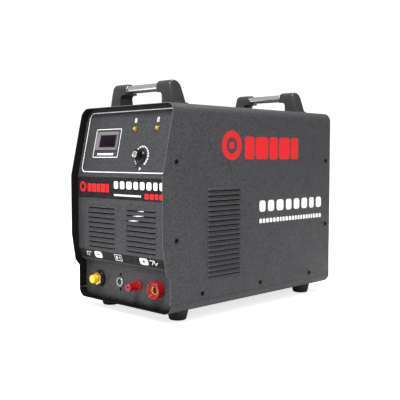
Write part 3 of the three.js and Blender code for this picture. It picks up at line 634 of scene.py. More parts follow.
# %% Cover sheet
NOSE_LINE = [(20, 70), (9, 84), (0, 142), (0, 272), (33, 420)]


def score(piece, low, high, above):
    """Cut across the faces above a height, along the line between two (behind, up) points."""
    step = at(0, *high) - at(0, *low)
    pick(piece, "faces", lambda face: face.calc_center_median().z > UNDERSIDE + above * MM)
    bpy.ops.mesh.bisect(plane_co=at(0, *low), plane_no=RIGHT.cross(step))


def ahead_of_nose(face):
    """True for a face in front of the nose's side view."""
    centre = face.calc_center_median()
    behind, up = (centre.y - NOSE) / MM, (centre.z - UNDERSIDE) / MM
    if up < 70:
        return behind < THROAT
    return any(
        (behind - low[0]) * (high[1] - low[1]) < (up - low[1]) * (high[0] - low[0])
        for low, high in zip(NOSE_LINE, NOSE_LINE[1:])
    )


cover = brick("cover_skin", (-HALF, 0, BEND + 0.3), (HALF, LENGTH, HEIGHT))
bpy.ops.object.mode_set(mode="EDIT")
pick(cover, "edges", lambda edge: runs_along(edge, 1) and mid(edge).z > COVER_HIGH.z - MM)
bpy.ops.mesh.bevel(offset=BEND * MM, segments=10, affect="EDGES")
pick(cover, "faces", lambda face: face.normal.z < -0.9 or abs(face.normal.y) > 0.9)
bpy.ops.mesh.delete(type="FACE")
bpy.ops.mesh.select_all(action="SELECT")
bpy.ops.mesh.bisect(plane_co=at(0, 0, 70), plane_no=UPWARD)
score(cover, (THROAT, 0), (THROAT, 70), above=0)
for low, high in zip(NOSE_LINE, NOSE_LINE[1:]):
    score(cover, low, high, above=70)
pick(cover, "faces", ahead_of_nose)
bpy.ops.mesh.delete(type="FACE")
bpy.ops.mesh.select_all(action="SELECT")
bpy.ops.mesh.dissolve_limited(angle_limit=math.radians(0.5))
bpy.ops.object.mode_set(mode="OBJECT")


def sheet_metal(piece, thickness=SHEET):
    """Give an open surface a sheet's thickness, away from its outer side."""
    solidify = piece.modifiers.new("sheet", "SOLIDIFY")
    solidify.thickness = thickness * MM
    solidify.offset = -1
    solidify.use_even_offset = True
    return apply_all(piece)


sheet_metal(cover)
print("cover sheet:", len(cover.data.polygons), "faces")

# %% [markdown]
# A louvre is lanced and pressed out of the sheet in one stroke: a slot with an eyelid-shaped hood
# over it. A quarter of a sphere, stretched along its length, is that eyelid. One hood of each
# length is made facing +X and copied to every place, which keeps all 54 alike.

# %% Louvre hoods
HOOD_REACH, HOOD_TAPER, HOOD_RISE, HOOD_LIP = 2.8, 5.0, 5.6, 0.7
SLOT_BELOW, SLOT_ABOVE = 1.8, 1.1
SIDE_ROWS = [243 - 10.5 * row for row in range(18)]
FRONT_ROWS = [203 - 10.6 * row for row in range(9)]


def hood(name, length):
    """A pressed hood over the origin: outwards is +X, open below, its length along Y."""
    bpy.ops.mesh.primitive_uv_sphere_add(
        segments=16, ring_count=12, radius=MM, rotation=(math.pi / 2, 0, 0))
    piece = named(name)
    apply_all(piece)
    bpy.ops.object.mode_set(mode="EDIT")
    pick(piece, "verts", lambda vertex: vertex.co.x < -0.01 * MM or vertex.co.z < -0.01 * MM)
    bpy.ops.mesh.delete(type="VERT")
    bpy.ops.mesh.select_all(action="SELECT")
    bpy.ops.transform.resize(value=(HOOD_REACH, HOOD_TAPER, HOOD_RISE), center_override=(0, 0, 0))
    for side in (-1, 1):
        pick(piece, "verts", lambda vertex: side * vertex.co.y > 0.1 * MM)
        bpy.ops.transform.translate(value=(0, side * (length / 2 - HOOD_TAPER) * MM, 0))
    bpy.ops.mesh.select_all(action="SELECT")
    bpy.ops.mesh.normals_make_consistent(inside=False)
    bpy.ops.object.mode_set(mode="OBJECT")
    sheet_metal(piece, 0.9)
    bpy.ops.object.shade_smooth_by_angle(angle=math.radians(40))
    return piece


def slots(name, rows, across, behind):
    """One cutter for a bank of slots, between two limits across and two behind."""
    bars = [
        brick(name, (across[0], behind[0], up - SLOT_BELOW), (across[1], behind[1], up + SLOT_ABOVE))
        for up in rows
    ]
    return joined(name, bars)


def hood_at(pattern, across, behind, up, turn):
    """A copy of a hood over one slot, turned about +Z from facing +X."""
    spot = Matrix.Translation(at(across, behind, up + HOOD_LIP))
    return copied(pattern, "hood", matrix=spot @ Matrix.Rotation(turn, 4, "Z"))


side_hood = hood("side_hood", 102)
cut_with(cover, slots("side_slots", SIDE_ROWS, (-HALF - 4, HALF + 4), (127.5, 226.5)))
hoods = [
    hood_at(side_hood, side * (HALF - 0.15), 177, up, turn)
    for up in SIDE_ROWS for side, turn in [(1, 0), (-1, math.pi)]
]
bpy.data.objects.remove(side_hood)
soften(cover, 0.35, angle=40, segments=2)
cover = joined("cover_skin", [cover, *hoods])
print("cover:", len(cover.data.polygons), "faces,", len(hoods), "hoods")

# %% [markdown]
# The base pan closes the case from below: the same sheet bent up along both sides, standing a
# fine seam under the cover. It starts behind the throat of the nose.

# %% Base pan
FOLD_AT = 147.4
pan = brick("base_pan_skin", (-HALF, THROAT, 0), (HALF, LENGTH, BEND))
bpy.ops.object.mode_set(mode="EDIT")
pick(pan, "edges", lambda edge: runs_along(edge, 1) and mid(edge).z < UNDERSIDE + MM)
bpy.ops.mesh.bevel(offset=(BEND - 0.1) * MM, segments=10, affect="EDGES")
pick(pan, "faces", lambda face: face.normal.z > 0.9 or abs(face.normal.y) > 0.9)
bpy.ops.mesh.delete(type="FACE")
bpy.ops.object.mode_set(mode="OBJECT")
sheet_metal(pan)


def folds(behind, up):
    """The two folded edges inside the long sides, between two limits behind and two up."""
    edges = [(middle - SHEET / 2, middle + SHEET / 2) for middle in (-FOLD_AT, FOLD_AT)]
    return [brick("fold", (low, behind[0], up[0]), (high, behind[1], up[1])) for low, high in edges]


pan = joined("base_pan_skin", [pan, *folds((66, 526), (BEND - 6, BEND + 26))])
soften(pan, 0.35, angle=40, segments=2)
print("base pan:", len(pan.data.polygons), "faces")

# %% [markdown]
# The front panel is one strip bent four times: the controls lean back on top, the louvres stand
# upright, and the chin and a short step lead back to the sockets. A flat plane is cut across at
# the bends and pushed back row by row, as a press brake would do it. Then the bends are rounded.

# %% Front panel
PANEL_HALF = 148.2
SLOPE_FOOT, SLOPE_TOP = (18, 272), (50.66, 418.5)
UPRIGHT_LOW, CHIN_LOW, SOCKET_TOP = (18, 112), (27, 86), (38.5, 79)

bpy.ops.mesh.primitive_plane_add(size=1, rotation=(math.pi / 2, 0, 0))
panel = named("front_panel_skin")
panel.scale = (2 * PANEL_HALF * MM, 1, 1)
apply_all(panel)
bpy.ops.object.mode_set(mode="EDIT")
pick(panel, "verts", lambda vertex: vertex.co.z > 0)
bpy.ops.transform.translate(value=at(0, 18, SLOPE_TOP[1]) - Vector((0, 0, 0.5)))
pick(panel, "verts", lambda vertex: vertex.co.z < 0)
bpy.ops.transform.translate(value=at(0, 18, SHEET) - Vector((0, 0, -0.5)))
for _, up in (SLOPE_FOOT, UPRIGHT_LOW, CHIN_LOW, SOCKET_TOP):
    bpy.ops.mesh.select_all(action="SELECT")
    bpy.ops.mesh.bisect(plane_co=at(0, 0, up), plane_no=UPWARD)
for below, shift in [(CHIN_LOW[1], 9), (SOCKET_TOP[1], 11.5)]:
    pick(panel, "verts", lambda vertex: vertex.co.z < UNDERSIDE + (below + 1) * MM)
    bpy.ops.transform.translate(value=(0, shift * MM, 0))
pick(panel, "verts", lambda vertex: vertex.co.z > UNDERSIDE + 400 * MM)
bpy.ops.transform.translate(value=(0, (SLOPE_TOP[0] - 18) * MM, 0))
pick(panel, "verts", lambda vertex: not UNDERSIDE + 5 * MM < vertex.co.z < UNDERSIDE + 400 * MM)
bpy.ops.mesh.bevel(offset=18.2 * MM, segments=8, affect="VERTICES")
pick(panel, "edges", lambda edge: runs_along(edge, 0) and 5 < (mid(edge).z - UNDERSIDE) / MM < 400)
bpy.ops.mesh.bevel(offset=2.2 * MM, segments=3, affect="EDGES")
bpy.ops.mesh.select_all(action="SELECT")
bpy.ops.mesh.normals_make_consistent(inside=False)
bpy.ops.object.mode_set(mode="OBJECT")
if sum(face.normal.y * face.area for face in panel.data.polygons) > 0:
    panel.data.flip_normals()
sheet_metal(panel)

front_hood = hood("front_hood", 93)
hoods = []
for middle in (-64.5, 64.5):
    cut_with(panel, slots("front_slots", FRONT_ROWS, (middle - 45, middle + 45), (14, 22)))
    hoods += [hood_at(front_hood, middle, 18.15, up, -math.pi / 2) for up in FRONT_ROWS]
bpy.data.objects.remove(front_hood)
soften(panel, 0.3, angle=40, segments=2)
panel = joined("front_panel_skin", [panel, *hoods])
print("front panel:", len(panel.data.polygons), "faces")

# %% [markdown]
# The rear panel is a flat sheet with rounded corners and folded side edges. A round opening lets
# the fan blow out.

# %% Rear panel
REAR_FACE = 558.5
rear = plate("rear_panel_skin", 2 * PANEL_HALF, 416.4, SHEET, 18.2, 8)
aim(rear, at(0, REAR_FACE - SHEET, 210), BACKWARD)
bpy.ops.mesh.primitive_cylinder_add(
    vertices=64, radius=54 * MM, depth=20 * MM, location=at(0, 557, 130), rotation=(math.pi / 2, 0, 0))
fan_opening = apply_all(named("fan_opening"))
cut_with(rear, fan_opening)
rear = joined("rear_panel_skin", [rear, *folds((530, 558), (50, 396))])
soften(rear, 0.3, angle=40, segments=2)
print("rear panel:", len(rear.data.polygons), "faces")

# %% [markdown]
# The inner side of each bent sheet gets a near-black coat: painted shade for the shadow deep in
# the nose's recess and inside the pan. The cover's front edge is light, partly as a thin coat and
# partly as a painted highlight, and the pan's front edge takes the painted shade. Three materials
# on one object could be painted by hand; here each face is given its material by how deep it lies
# in the sheet.

# %% Inner side and edges of the sheets
def depth_in(face, corner_up):
    """A face's depth in the cover or the base pan, in sheet thicknesses, from its bends' axis."""
    height = (face.center.z - UNDERSIDE) / MM
    across = abs(face.center.x) / MM - (HALF - BEND)
    up = height - corner_up if corner_up > HEIGHT / 2 else corner_up - height
    if across > 0 and up > 0:
        return (BEND - math.hypot(across, up)) / SHEET
    return (BEND - max(across, up)) / SHEET


def shade_inside(piece, corner_up, edge_finish):
    """Paint shade onto the inner side; the sheet's front edge has a finish of its own."""
    piece.data.materials.append(finishes["painted_inner_shade"])
    piece.data.materials.append(finishes[edge_finish])
    for face in piece.data.polygons:
        depth = depth_in(face, corner_up)
        if depth > 0.75:
            face.material_index = 1
        elif depth > 0.3 and face.normal.y < -0.6:
            face.material_index = 2
    print(piece.name, "dark faces:", sum(face.material_index == 1 for face in piece.data.polygons))


fit(cover, "case_coat", stands_for=["cover"])
shade_inside(cover, HEIGHT - BEND, "thin_coat_and_highlight_edge")
fit(pan, "case_coat", stands_for=["base_pan"])
# The pan's front edge takes the painted shade as well.
shade_inside(pan, BEND, "painted_inner_shade")
fit(panel, "case_coat", stands_for=["front_panel"])
fit(rear, "case_coat", stands_for=["rear_panel"])

# %% [markdown]
# Many small pieces sit on a face of the case, so each face gets a frame: a matrix whose X runs
# across the face, whose Y climbs it and whose Z points out of it. `lay` puts a piece there.

# %% Frames of the faces
def face_frame(origin, across, climb):
    """The matrix of a face from one of its points and its two directions."""
    across, climb = Vector(across).normalized(), Vector(climb).normalized()
    turn = Matrix((across, climb, across.cross(climb))).transposed().to_4x4()
    return Matrix.Translation(origin) @ turn


def lay(piece, face, across, up, out=0.0, roll=0.0):
    """Put a piece made round the origin, facing +Z, on a face; a roll turns it there."""
    spot = Matrix.Translation((across * MM, up * MM, out * MM))
    piece.data.transform(face @ spot @ Matrix.Rotation(math.radians(roll), 4, "Z"))
    return piece


SLOPE = face_frame(at(0, *SLOPE_FOOT), RIGHT, at(0, *SLOPE_TOP) - at(0, *SLOPE_FOOT))
UPRIGHT = face_frame(at(0, 18, 0), RIGHT, UPWARD)
CHIN = face_frame(at(0, *CHIN_LOW), RIGHT, at(0, *UPRIGHT_LOW) - at(0, *CHIN_LOW))
SOCKETS = face_frame(at(0, SOCKET_TOP[0], 0), RIGHT, UPWARD)
RIGHT_SIDE = face_frame(at(HALF, 0, 0), BACKWARD, UPWARD)
LEFT_SIDE = face_frame(at(-HALF, 0, 0), FORWARD, UPWARD)
TOP = face_frame(at(0, 0, HEIGHT), RIGHT, BACKWARD)
REAR = face_frame(at(0, REAR_FACE, 0), LEFT, UPWARD)
print("the slope leans back", round(math.degrees(math.asin(SLOPE.col[2].z)), 1), "degrees")

# %% [markdown]
# Black pan-head screws hold the cover, the panels and the fan. The head is turned, and a cross
# recess is cut into it with two short bars. Every screw is a copy of this one.

# %% Screws
SCREW_HEAD = [(4.8, -0.4), (4.8, 0.5), (4.5, 1.3), (3.8, 2.0), (2.6, 2.45), (1.2, 2.6), (0.4, 2.6)]


def make_screw(name, size=1.0):
    """A pan-head screw on +Z, with its head's seat at height 0."""
    head = turned(name, [(radius * size, up * size) for radius, up in SCREW_HEAD], sides=28)
    for turn in (0, 90):
        bar = plate("recess", 5.4 * size, 1.1 * size, 3 * size)
        bar.data.transform(Matrix.Rotation(math.radians(turn), 4, "Z"))
        bar.data.transform(Matrix.Translation((0, 0, 1.3 * size * MM)))
        cut_with(head, bar)
    bpy.ops.object.shade_smooth_by_angle(angle=math.radians(50))
    return head


screw = make_screw("screw_pattern")
turns = random.Random(7)


def place_screw(name, face, across, up, stands_for=(), pattern=None, finish="black_steel"):
    """One more screw, at its own angle as hands leave them."""
    twin = copied(pattern or screw, name, matrix=Matrix.Identity(4))
    lay(twin, face, across, up, 0.05, turns.uniform(0, 90))
    return fit(twin, finish, stands_for=stands_for)


for side, face, sign in [("left", LEFT_SIDE, -1), ("right", RIGHT_SIDE, 1)]:
    for column, behind in [("front", 37), ("rear", 547)]:
        for level, up in [("lower", 147), ("upper", 303)]:
            node_name = f"{side}_{column}_{level}_screw"
            place_screw(node_name + "_head", face, sign * behind, up, [node_name])
    for number, behind in enumerate((110, 296, 482)):
        place_screw(f"{side}_pan_screw_{number}", face, sign * behind, 32)
for side, across in [("left", -70), ("right", 70)]:
    place_screw(f"top_{side}_screw_head", TOP, across, 61, [f"top_{side}_screw"])
print("screws:", sum("screw" in name for name in made))

# %% [markdown]
# A handle is a chromed tube between two moulded legs. A leg starts as a block: its outer side
# leans in, its front and rear top edges are rounded into a crown, and an arch is cut out below
# the arm that holds the tube. Its outer face is dished inside a narrow rim.

# %% Handle leg
HANDLE_FRONT, HANDLE_SPAN, HANDLE_DEPTH, HANDLE_HEIGHT = 74, 413, 38.5, 51.5
LEG_OUTER, LEG_LEAN, LEG_ARM, LEG_POST, ARM_UNDERSIDE = 101, 10, 49, 67, 27.5
crown = UNDERSIDE + (HEIGHT + HANDLE_HEIGHT - 1) * MM
leg_front, leg_rear = at(0, HANDLE_FRONT, 0).y, at(0, HANDLE_FRONT + HANDLE_DEPTH, 0).y


def crown_edge(edge, in_front):
    """True for the crown's front or rear edge, which runs across the unit."""
    ahead = mid(edge).y < leg_front + MM
    return runs_along(edge, 0) and mid(edge).z > crown and ahead == in_front


def on_end(vertex):
    """True for a vertex of the arm's end or of the leg's leaning outer side."""
    lean = LEG_LEAN * ((vertex.co.z - UNDERSIDE) / MM - HEIGHT) / HANDLE_HEIGHT
    across = vertex.co.x / MM
    return min(abs(across - LEG_ARM), abs(across - LEG_OUTER + lean)) < 0.3


def on_crown_rim(edge):
    """True for the edges where the crown meets the arm's end or the outer side."""
    high = min(vertex.co.z for vertex in edge.verts) > UNDERSIDE + (HEIGHT + 30) * MM
    return high and not runs_along(edge, 0) and all(on_end(vertex) for vertex in edge.verts)


leg = brick("handle_leg", (LEG_ARM, HANDLE_FRONT, HEIGHT + 0.2),
            (LEG_OUTER, HANDLE_FRONT + HANDLE_DEPTH, HEIGHT + HANDLE_HEIGHT))
bpy.ops.object.mode_set(mode="EDIT")
pick(leg, "verts", lambda vertex: vertex.co.z > crown and vertex.co.x > 90 * MM)
bpy.ops.transform.translate(value=(-LEG_LEAN * MM, 0, 0))
pick(leg, "verts", lambda vertex: vertex.co.z > crown and vertex.co.y > leg_rear - MM)
bpy.ops.transform.translate(value=(0, -8 * MM, 0))
pick(leg, "edges", lambda edge: crown_edge(edge, False))
bpy.ops.mesh.bevel(offset=15 * MM, segments=8, affect="EDGES")
pick(leg, "edges", lambda edge: crown_edge(edge, True))
bpy.ops.mesh.bevel(offset=12 * MM, segments=8, affect="EDGES")
pick(leg, "edges", on_crown_rim)
bpy.ops.mesh.bevel(offset=3.6 * MM, segments=5, affect="EDGES")
pick(leg, "faces", lambda face: face.normal.x > 0.95 and face.calc_area() > 400 * MM * MM)
bpy.ops.mesh.inset(thickness=1.6 * MM, depth=0)
bpy.ops.mesh.inset(thickness=4.5 * MM, depth=-1.6 * MM)
bpy.ops.object.mode_set(mode="OBJECT")

arch = brick("arch", (30, HANDLE_FRONT - 5, HEIGHT - 5),
             (LEG_POST + 0.4, HANDLE_FRONT + 45, HEIGHT + ARM_UNDERSIDE))
bpy.ops.object.mode_set(mode="EDIT")
inner_corner = at(60, 0, HEIGHT)
pick(arch, "edges", lambda edge: runs_along(edge, 1)
     and mid(edge).x > inner_corner.x and mid(edge).z > inner_corner.z)
bpy.ops.mesh.bevel(offset=9 * MM, segments=6, affect="EDGES")
bpy.ops.object.mode_set(mode="OBJECT")
cut_with(leg, arch)
soften(leg, 0.9, angle=30, segments=3)
print("handle leg:", len(leg.data.polygons), "faces")

# %% [markdown]
# The tube is a lathe profile with a fine groove at each leg, where it seats. Legs and tube are
# made once. The left leg is a mirrored copy, whose faces have to be turned outwards again.

# %% Handle tubes and copies
tube = turned("handle_tube", [
    (8.2, -59.5), (8.9, -59), (8.9, -48.6), (8.6, -48.4), (8.6, -47.8), (8.9, -47.6),
    (8.9, 47.6), (8.6, 47.8), (8.6, 48.4), (8.9, 48.6), (8.9, 59), (8.2, 59.5)], sides=48)
aim(tube, at(0, HANDLE_FRONT + 12, HEIGHT + 38.5), RIGHT)
soften(tube, 0.15, angle=30)
for where, shift in [("front", 0), ("rear", HANDLE_SPAN)]:
    back = Matrix.Translation((0, shift * MM, 0))
    flip = Matrix.Scale(-1, 4, (1, 0, 0))
    right_leg = copied(leg, f"{where}_handle_right_leg_skin", matrix=back)
    left_leg = recalculate(copied(leg, f"{where}_handle_left_leg_skin", matrix=back @ flip))
    bar = copied(tube, f"{where}_handle_tube_skin", matrix=back)
    fit(right_leg, "handle_plastic", stands_for=[f"{where}_handle_right_leg"])
    fit(left_leg, "handle_plastic", stands_for=[f"{where}_handle_left_leg"])
    fit(bar, "chrome", stands_for=[f"{where}_handle_tube"])
bpy.data.objects.remove(leg)
bpy.data.objects.remove(tube)
print("handles:", [name for name in made if "handle" in name])

# %% [markdown]
# The feet are turned rubber buffers with a rounded sole and a hollow for the screw that holds them.
# A cylinder with bevels would nearly do, but the flare towards the case needs a profile of its own.

# %% Feet
FOOT = [(3.4, -18), (5.4, -18), (5.4, -21.4), (6.4, -22), (13.8, -22), (16.6, -21.2), (18.2, -19.2),
        (18.9, -16), (21.6, -5.4), (22, -4), (22, -1), (21.4, -0.3), (3.4, -0.3)]
foot = turned("foot_pattern", FOOT, sides=56)
soften(foot, 0.3, angle=40)
for where, behind in [("front", 78), ("rear", 500)]:
    for side, across in [("left", -110), ("right", 110)]:
        twin = copied(foot, f"{where}_{side}_foot_skin", matrix=Matrix.Translation(at(across, behind, 0)))
        fit(twin, "foot_rubber", stands_for=[f"{where}_{side}_foot"])
bpy.data.objects.remove(foot)
print("feet:", made[-4:])

# %% [markdown]
# ## Controls
# The meter snaps into the panel from the front. Its bezel slopes in towards the window, which is
# what makes it catch the light on two sides. A plate is cut with a tapered throat for that: a
# block whose outer end is scaled up. The window is a thin plate of its own, a little lower.

# %% Panel meter
METER = (-63, 76.4)
bezel = plate("meter_bezel", 76, 40, 3.0, 2.5, 5)
throat = plate("throat", 50, 25.2, 4.0)
bpy.ops.object.mode_set(mode="EDIT")
pick(throat, "verts", lambda vertex: vertex.co.z > MM)
bpy.ops.transform.resize(value=(69 / 50, 33.5 / 25.2, 1), center_override=(0, 0, 0))
bpy.ops.object.mode_set(mode="OBJECT")
throat.data.transform(Matrix.Translation((1.7 * MM, 0, -0.9 * MM)))
cut_with(bezel, throat)
soften(bezel, 0.5, angle=20, segments=3)
case_behind = plate("meter_case", 72, 34, 24)
case_behind.data.transform(Matrix.Translation((0, 0, -24.4 * MM)))
bezel = joined("meter_bezel", [bezel, case_behind])
lay(bezel, SLOPE, *METER, 0.1)
fit(bezel, "meter_bezel", stands_for=["display_module"])
window = plate("meter_window", 53.4, 25.4, 0.6, 0.6, 3)
soften(window, 0.2)
lay(window, SLOPE, *METER, -0.3)
fit(window, "smoked_lens", stands_for=["display_lens"])
print("meter:", made[-2:])

# %% [markdown]
# The indicator lamps are amber domes in gilt brass rings. Both are lathe profiles. The dome has
# only sixteen sides and stays flat shaded, because the real lens is moulded in facets.

# %% Lamps
RING = [(3.8, -8), (5, -8), (5, 0.1), (6.9, 0.1), (7, 0.9), (6.7, 1.8), (6.0, 2.5), (4.6, 2.6), (3.9, 2.0),
        (3.8, 1)]
DOME = [(3.6, -6.5), (3.6, 2.6), (3.3, 3.7), (2.6, 4.6), (1.5, 5.15), (0.4, 5.3)]
for side, across in [("left", 24), ("right", 93)]:
    ring = turned(f"{side}_lamp_ring", RING + RING[:1], sides=40)
    soften(ring, 0.15, angle=30)
    lay(ring, SLOPE, across, 101.5)
    fit(ring, "gilt", stands_for=[f"{side}_lamp_bezel"])
    dome = turned(f"{side}_lamp_dome", DOME, sides=16)
    lay(dome, SLOPE, across, 101.5)
    fit(dome, "amber_lens", stands_for=[f"{side}_lamp_lens"])
print("lamps:", made[-4:])

# %% [markdown]
# The knob is moulded in two steps, a skirt and a grip, with flutes for the fingers and a turned
# aluminium cap pressed into its end. The flutes are a ring of cylinders cut out together with one
# Boolean, which is quicker to change than modelling a fluted profile.

# %% Knob
KNOB = (57, 43)
grip = turned("knob_grip", [
    (3.2, 1.2), (13.6, 1.2), (14.4, 1.8), (14.5, 3.0), (13.6, 4.4), (12.0, 5.6), (10.6, 6.4), (10.4, 7.4),
    (9.9, 17.6), (9.4, 18.5), (8.6, 18.9), (7.4, 18.9), (7.2, 18.3), (0.5, 18.3)], sides=96)


def flutes(count, sides, radius, depth, reach, up):
    """A ring of thin cylinders round +Z, at a reach from the axis, to cut grip flutes with."""
    bars = []
    for number in range(count):
        angle = 2 * math.pi * number / count
        bpy.ops.mesh.primitive_cylinder_add(
            vertices=sides, radius=radius * MM, depth=depth * MM,
            location=(reach * MM * math.cos(angle), reach * MM * math.sin(angle), up * MM))
        bars.append(apply_all(named("flute")))
    return joined("flutes", bars)


cut_with(grip, flutes(18, 12, 0.8, 12, 10.6, 13.4))
soften(grip, 0.15, angle=34)
lay(grip, SLOPE, *KNOB)
fit(grip, "black_plastic", body="knob", stands_for=["current_knob"])
cap = turned("knob_cap_skin", [
    (7.0, 18.4), (7.1, 19.0), (6.9, 19.6), (6.3, 19.95), (5.7, 20.0), (5.4, 19.7), (0.5, 19.6)], sides=64)
soften(cap, 0.08, angle=30)
lay(cap, SLOPE, *KNOB)
fit(cap, "aluminium", body="knob", stands_for=["knob_cap"])
pointer = plate("knob_pointer", 1.0, 4.2, 0.25, 0.4, 4)
lay(pointer, SLOPE, KNOB[0], KNOB[1] + 3.0, 19.55)
fit(pointer, "black_ink", body="knob")
print("knob:", made[-3:])

# %% [markdown]
# ## Sockets
# Four fittings stand on the recessed panel. The first is the torch outlet: a black flange, a brass
# nipple with a hexagon and a thread, and a yellow dust cap pushed over it. A six-sided lathe job
# is a hexagon, so the same helper serves round and six-sided parts, and a zigzag is the thread.

# %% Torch outlet and dust cap
TORCH = (-97, 44)
flange = turned("torch_flange", [
    (9.3, 0.1), (18, 0.1), (18, 3.6), (17.4, 5.0), (16.2, 5.9), (9.3, 6.0), (9.3, 0.1)], sides=56)
soften(flange, 0.2, angle=30)
lay(flange, SOCKETS, *TORCH)
fit(flange, "black_plastic", stands_for=["torch_socket_flange"])
hexagon = turned("torch_hexagon", [
    (7, 6.1), (14.2, 6.1), (15.2, 6.8), (15.2, 10.2), (14.0, 11.0), (7, 11.0), (7, 6.1)], sides=6)
thread = [(3, 8.5), (3, 19.8), (6.6, 20)]
for step in range(6):
    thread += [(7.4, 19.3 - 1.4 * step), (6.8, 18.6 - 1.4 * step)]
spigot = turned("torch_spigot", [*thread, (7.2, 10), (7.2, -12), (3, -12)], sides=48)
nipple = joined("torch_nipple", [hexagon, spigot])
soften(nipple, 0.25, angle=40)
lay(nipple, SOCKETS, *TORCH)
fit(nipple, "brass", stands_for=["torch_socket_nipple"])
cap_hex = turned("cap_hex", [
    (7.9, 11.3), (10.1, 11.3), (10.6, 11.9), (10.6, 14.4), (10.0, 15.2), (7.9, 15.2), (7.9, 11.3)], sides=6)
cap_round = turned("cap_round", [
    (7.9, 12.0), (9.3, 12.0), (9.5, 15.6), (9.5, 21.6), (9.2, 23.0), (8.3, 23.9), (7.2, 24.0), (6.4, 23.4),
    (0.6, 23.3)], sides=56)
bore = turned("cap_bore", [(7.85, 9), (7.85, 20.6), (0.6, 20.6)], sides=48)
cut_with(cap_round, bore)
dust_cap = joined("torch_dust_cap_skin", [cap_hex, cap_round])
soften(dust_cap, 0.3, angle=34, segments=3)
lay(dust_cap, SOCKETS, *TORCH)
fit(dust_cap, "yellow_plastic", body="dust_cap", stands_for=["torch_dust_cap"])
print("torch outlet:", made[-3:])

# %% [markdown]
# The small two-pin socket carries the torch's switch. Its plated shell has a rounded rim, and two
# holes are cut into the black insert. Two small screws above and below hold its flange.

# %% Two-pin socket
PILOT = (-26, 44)
shell = turned("pilot_ring", [
    (7.2, -10), (8, -10), (8, 0.1), (10.1, 0.1), (10.2, 1.0), (10.2, 2.9), (9.7, 3.7), (9.0, 4.0), (7.8, 4.0),
    (7.3, 3.5), (7.2, 2.8), (7.2, -10)], sides=56)
soften(shell, 0.12, angle=30)
lay(shell, SOCKETS, *PILOT)
fit(shell, "steel", stands_for=["pilot_socket_shell"])
insert = turned("pilot_insert", [(7.0, -9), (7.0, -0.6), (6.6, -0.1), (0.6, 0.0)], sides=48)
for across in (-3, 3):
    hole = turned("pin_hole", [(1.75, -6), (1.75, 2)], sides=20)
    hole.data.transform(Matrix.Translation((across * MM, 0, 0)))
    cut_with(insert, hole)
soften(insert, 0.15, angle=30)
lay(insert, SOCKETS, *PILOT)
fit(insert, "black_plastic", stands_for=["pilot_socket_insert"])
small_screw = make_screw("small_screw_pattern", 0.66)
for number, up in enumerate((60, 28)):
    place_screw(f"pilot_flange_screw_{number}", SOCKETS, PILOT[0], up, pattern=small_screw)
print("two-pin socket:", made[-4:])

# %% [markdown]
# The binding post clamps the pilot arc's wire: a brass stud, a washer, and a long red nut that is
# turned by hand. Nut and washer move, so each is an object of its own, tied to its own body.

# %% Binding post
POST = (33, 43)
collar = turned("post_collar", [
    (4.6, 0.1), (11.4, 0.1), (11.5, 2.8), (11.0, 4.2), (9.9, 4.9), (4.6, 5.0), (4.6, 0.1)], sides=56)
soften(collar, 0.2, angle=30)
lay(collar, SOCKETS, *POST)
fit(collar, "red_plastic", stands_for=["binding_post_base"])
stud = [(0.6, -14), (4, -14)]
for step in range(27):
    stud += [(3.95, -6 + step), (3.55, -5.5 + step)]
stud = turned("post_stud", [*stud, (3.2, 21), (0.6, 21)], sides=32)
bpy.ops.object.shade_smooth_by_angle(angle=math.radians(30))
lay(stud, SOCKETS, *POST)
fit(stud, "brass", stands_for=["binding_post_stud"])
washer = turned("post_washer_skin", [(4.4, 5.3), (8, 5.3), (8, 6.5), (4.4, 6.5), (4.4, 5.3)], sides=48)
soften(washer, 0.15, angle=30)
lay(washer, SOCKETS, *POST)
fit(washer, "steel", body="post_washer", stands_for=["binding_post_washer"])
nut = turned("post_nut_skin", [
    (4.4, 6.8), (9.4, 6.8), (9.8, 7.3), (9.8, 8.9), (9.2, 10.2), (8.5, 11.4), (8.3, 26.6), (7.9, 28.6),
    (7.0, 29.7), (5.6, 30.0), (3.4, 29.6), (2.6, 28.8), (2.5, 23.6), (0.6, 23.5)], sides=72)
nut_bore = turned("nut_bore", [(4.4, 5), (4.4, 22.2), (0.6, 22.2)], sides=40)
cut_with(nut, nut_bore)
cut_with(nut, flutes(14, 10, 0.7, 11, 8.7, 18.5))
soften(nut, 0.15, angle=34)
lay(nut, SOCKETS, *POST)
fit(nut, "red_plastic", body="post_nut", stands_for=["binding_post_nut"])
print("binding post:", made[-4:])

# %% [markdown]
# The work cable's bayonet socket is a deep red collar round a brass sleeve. The plug's key slides
# in through a slot at the top of the sleeve and locks with a turn, so the slot is cut in.

# %% Work socket
WORK = (96, 43)
collar = turned("work_collar", [
    (8.9, -17), (14, -17), (14, 0.1), (17.6, 0.1), (18, 0.7), (18, 15.4), (17.7, 16.5), (16.9, 17.0),
    (15.9, 16.9), (15.4, 16.2), (14.7, 12.4), (14.2, 11.8), (8.9, 11.6), (8.9, -17)], sides=72)
soften(collar, 0.2, angle=30)
lay(collar, SOCKETS, *WORK)
fit(collar, "red_plastic", stands_for=["work_socket_collar"])
insert = turned("work_insert", [
    (0.6, -23), (8.6, -23), (8.6, 11.2), (8.2, 11.9), (7.4, 12), (6.7, 11.5), (6.5, 10.6), (6.5, -12),
    (0.6, -12)], sides=64)
key = plate("key_slot", 3.4, 5, 26)
key.data.transform(Matrix.Translation((0, 6.2 * MM, -13 * MM)))
cut_with(insert, key)
soften(insert, 0.15, angle=30)
lay(insert, SOCKETS, *WORK)
fit(insert, "brass", stands_for=["work_socket_insert"])
print("work socket:", made[-2:])

# %% [markdown]
# ## Printed marks
# The case carries screen-printed marks. They are kept as plain shapes of the same size, place and
# colour: words become rows of rounded blocks, so that nothing can be read and no mark is copied.
# Each print is a tenth of a millimetre thick and lies in its own face's frame.

# %% Print helpers
INK = 0.12


def print_on(name, pieces, finish):
    """Join flat pieces that are already placed on a face into one print."""
    return fit(joined(name, pieces), finish)


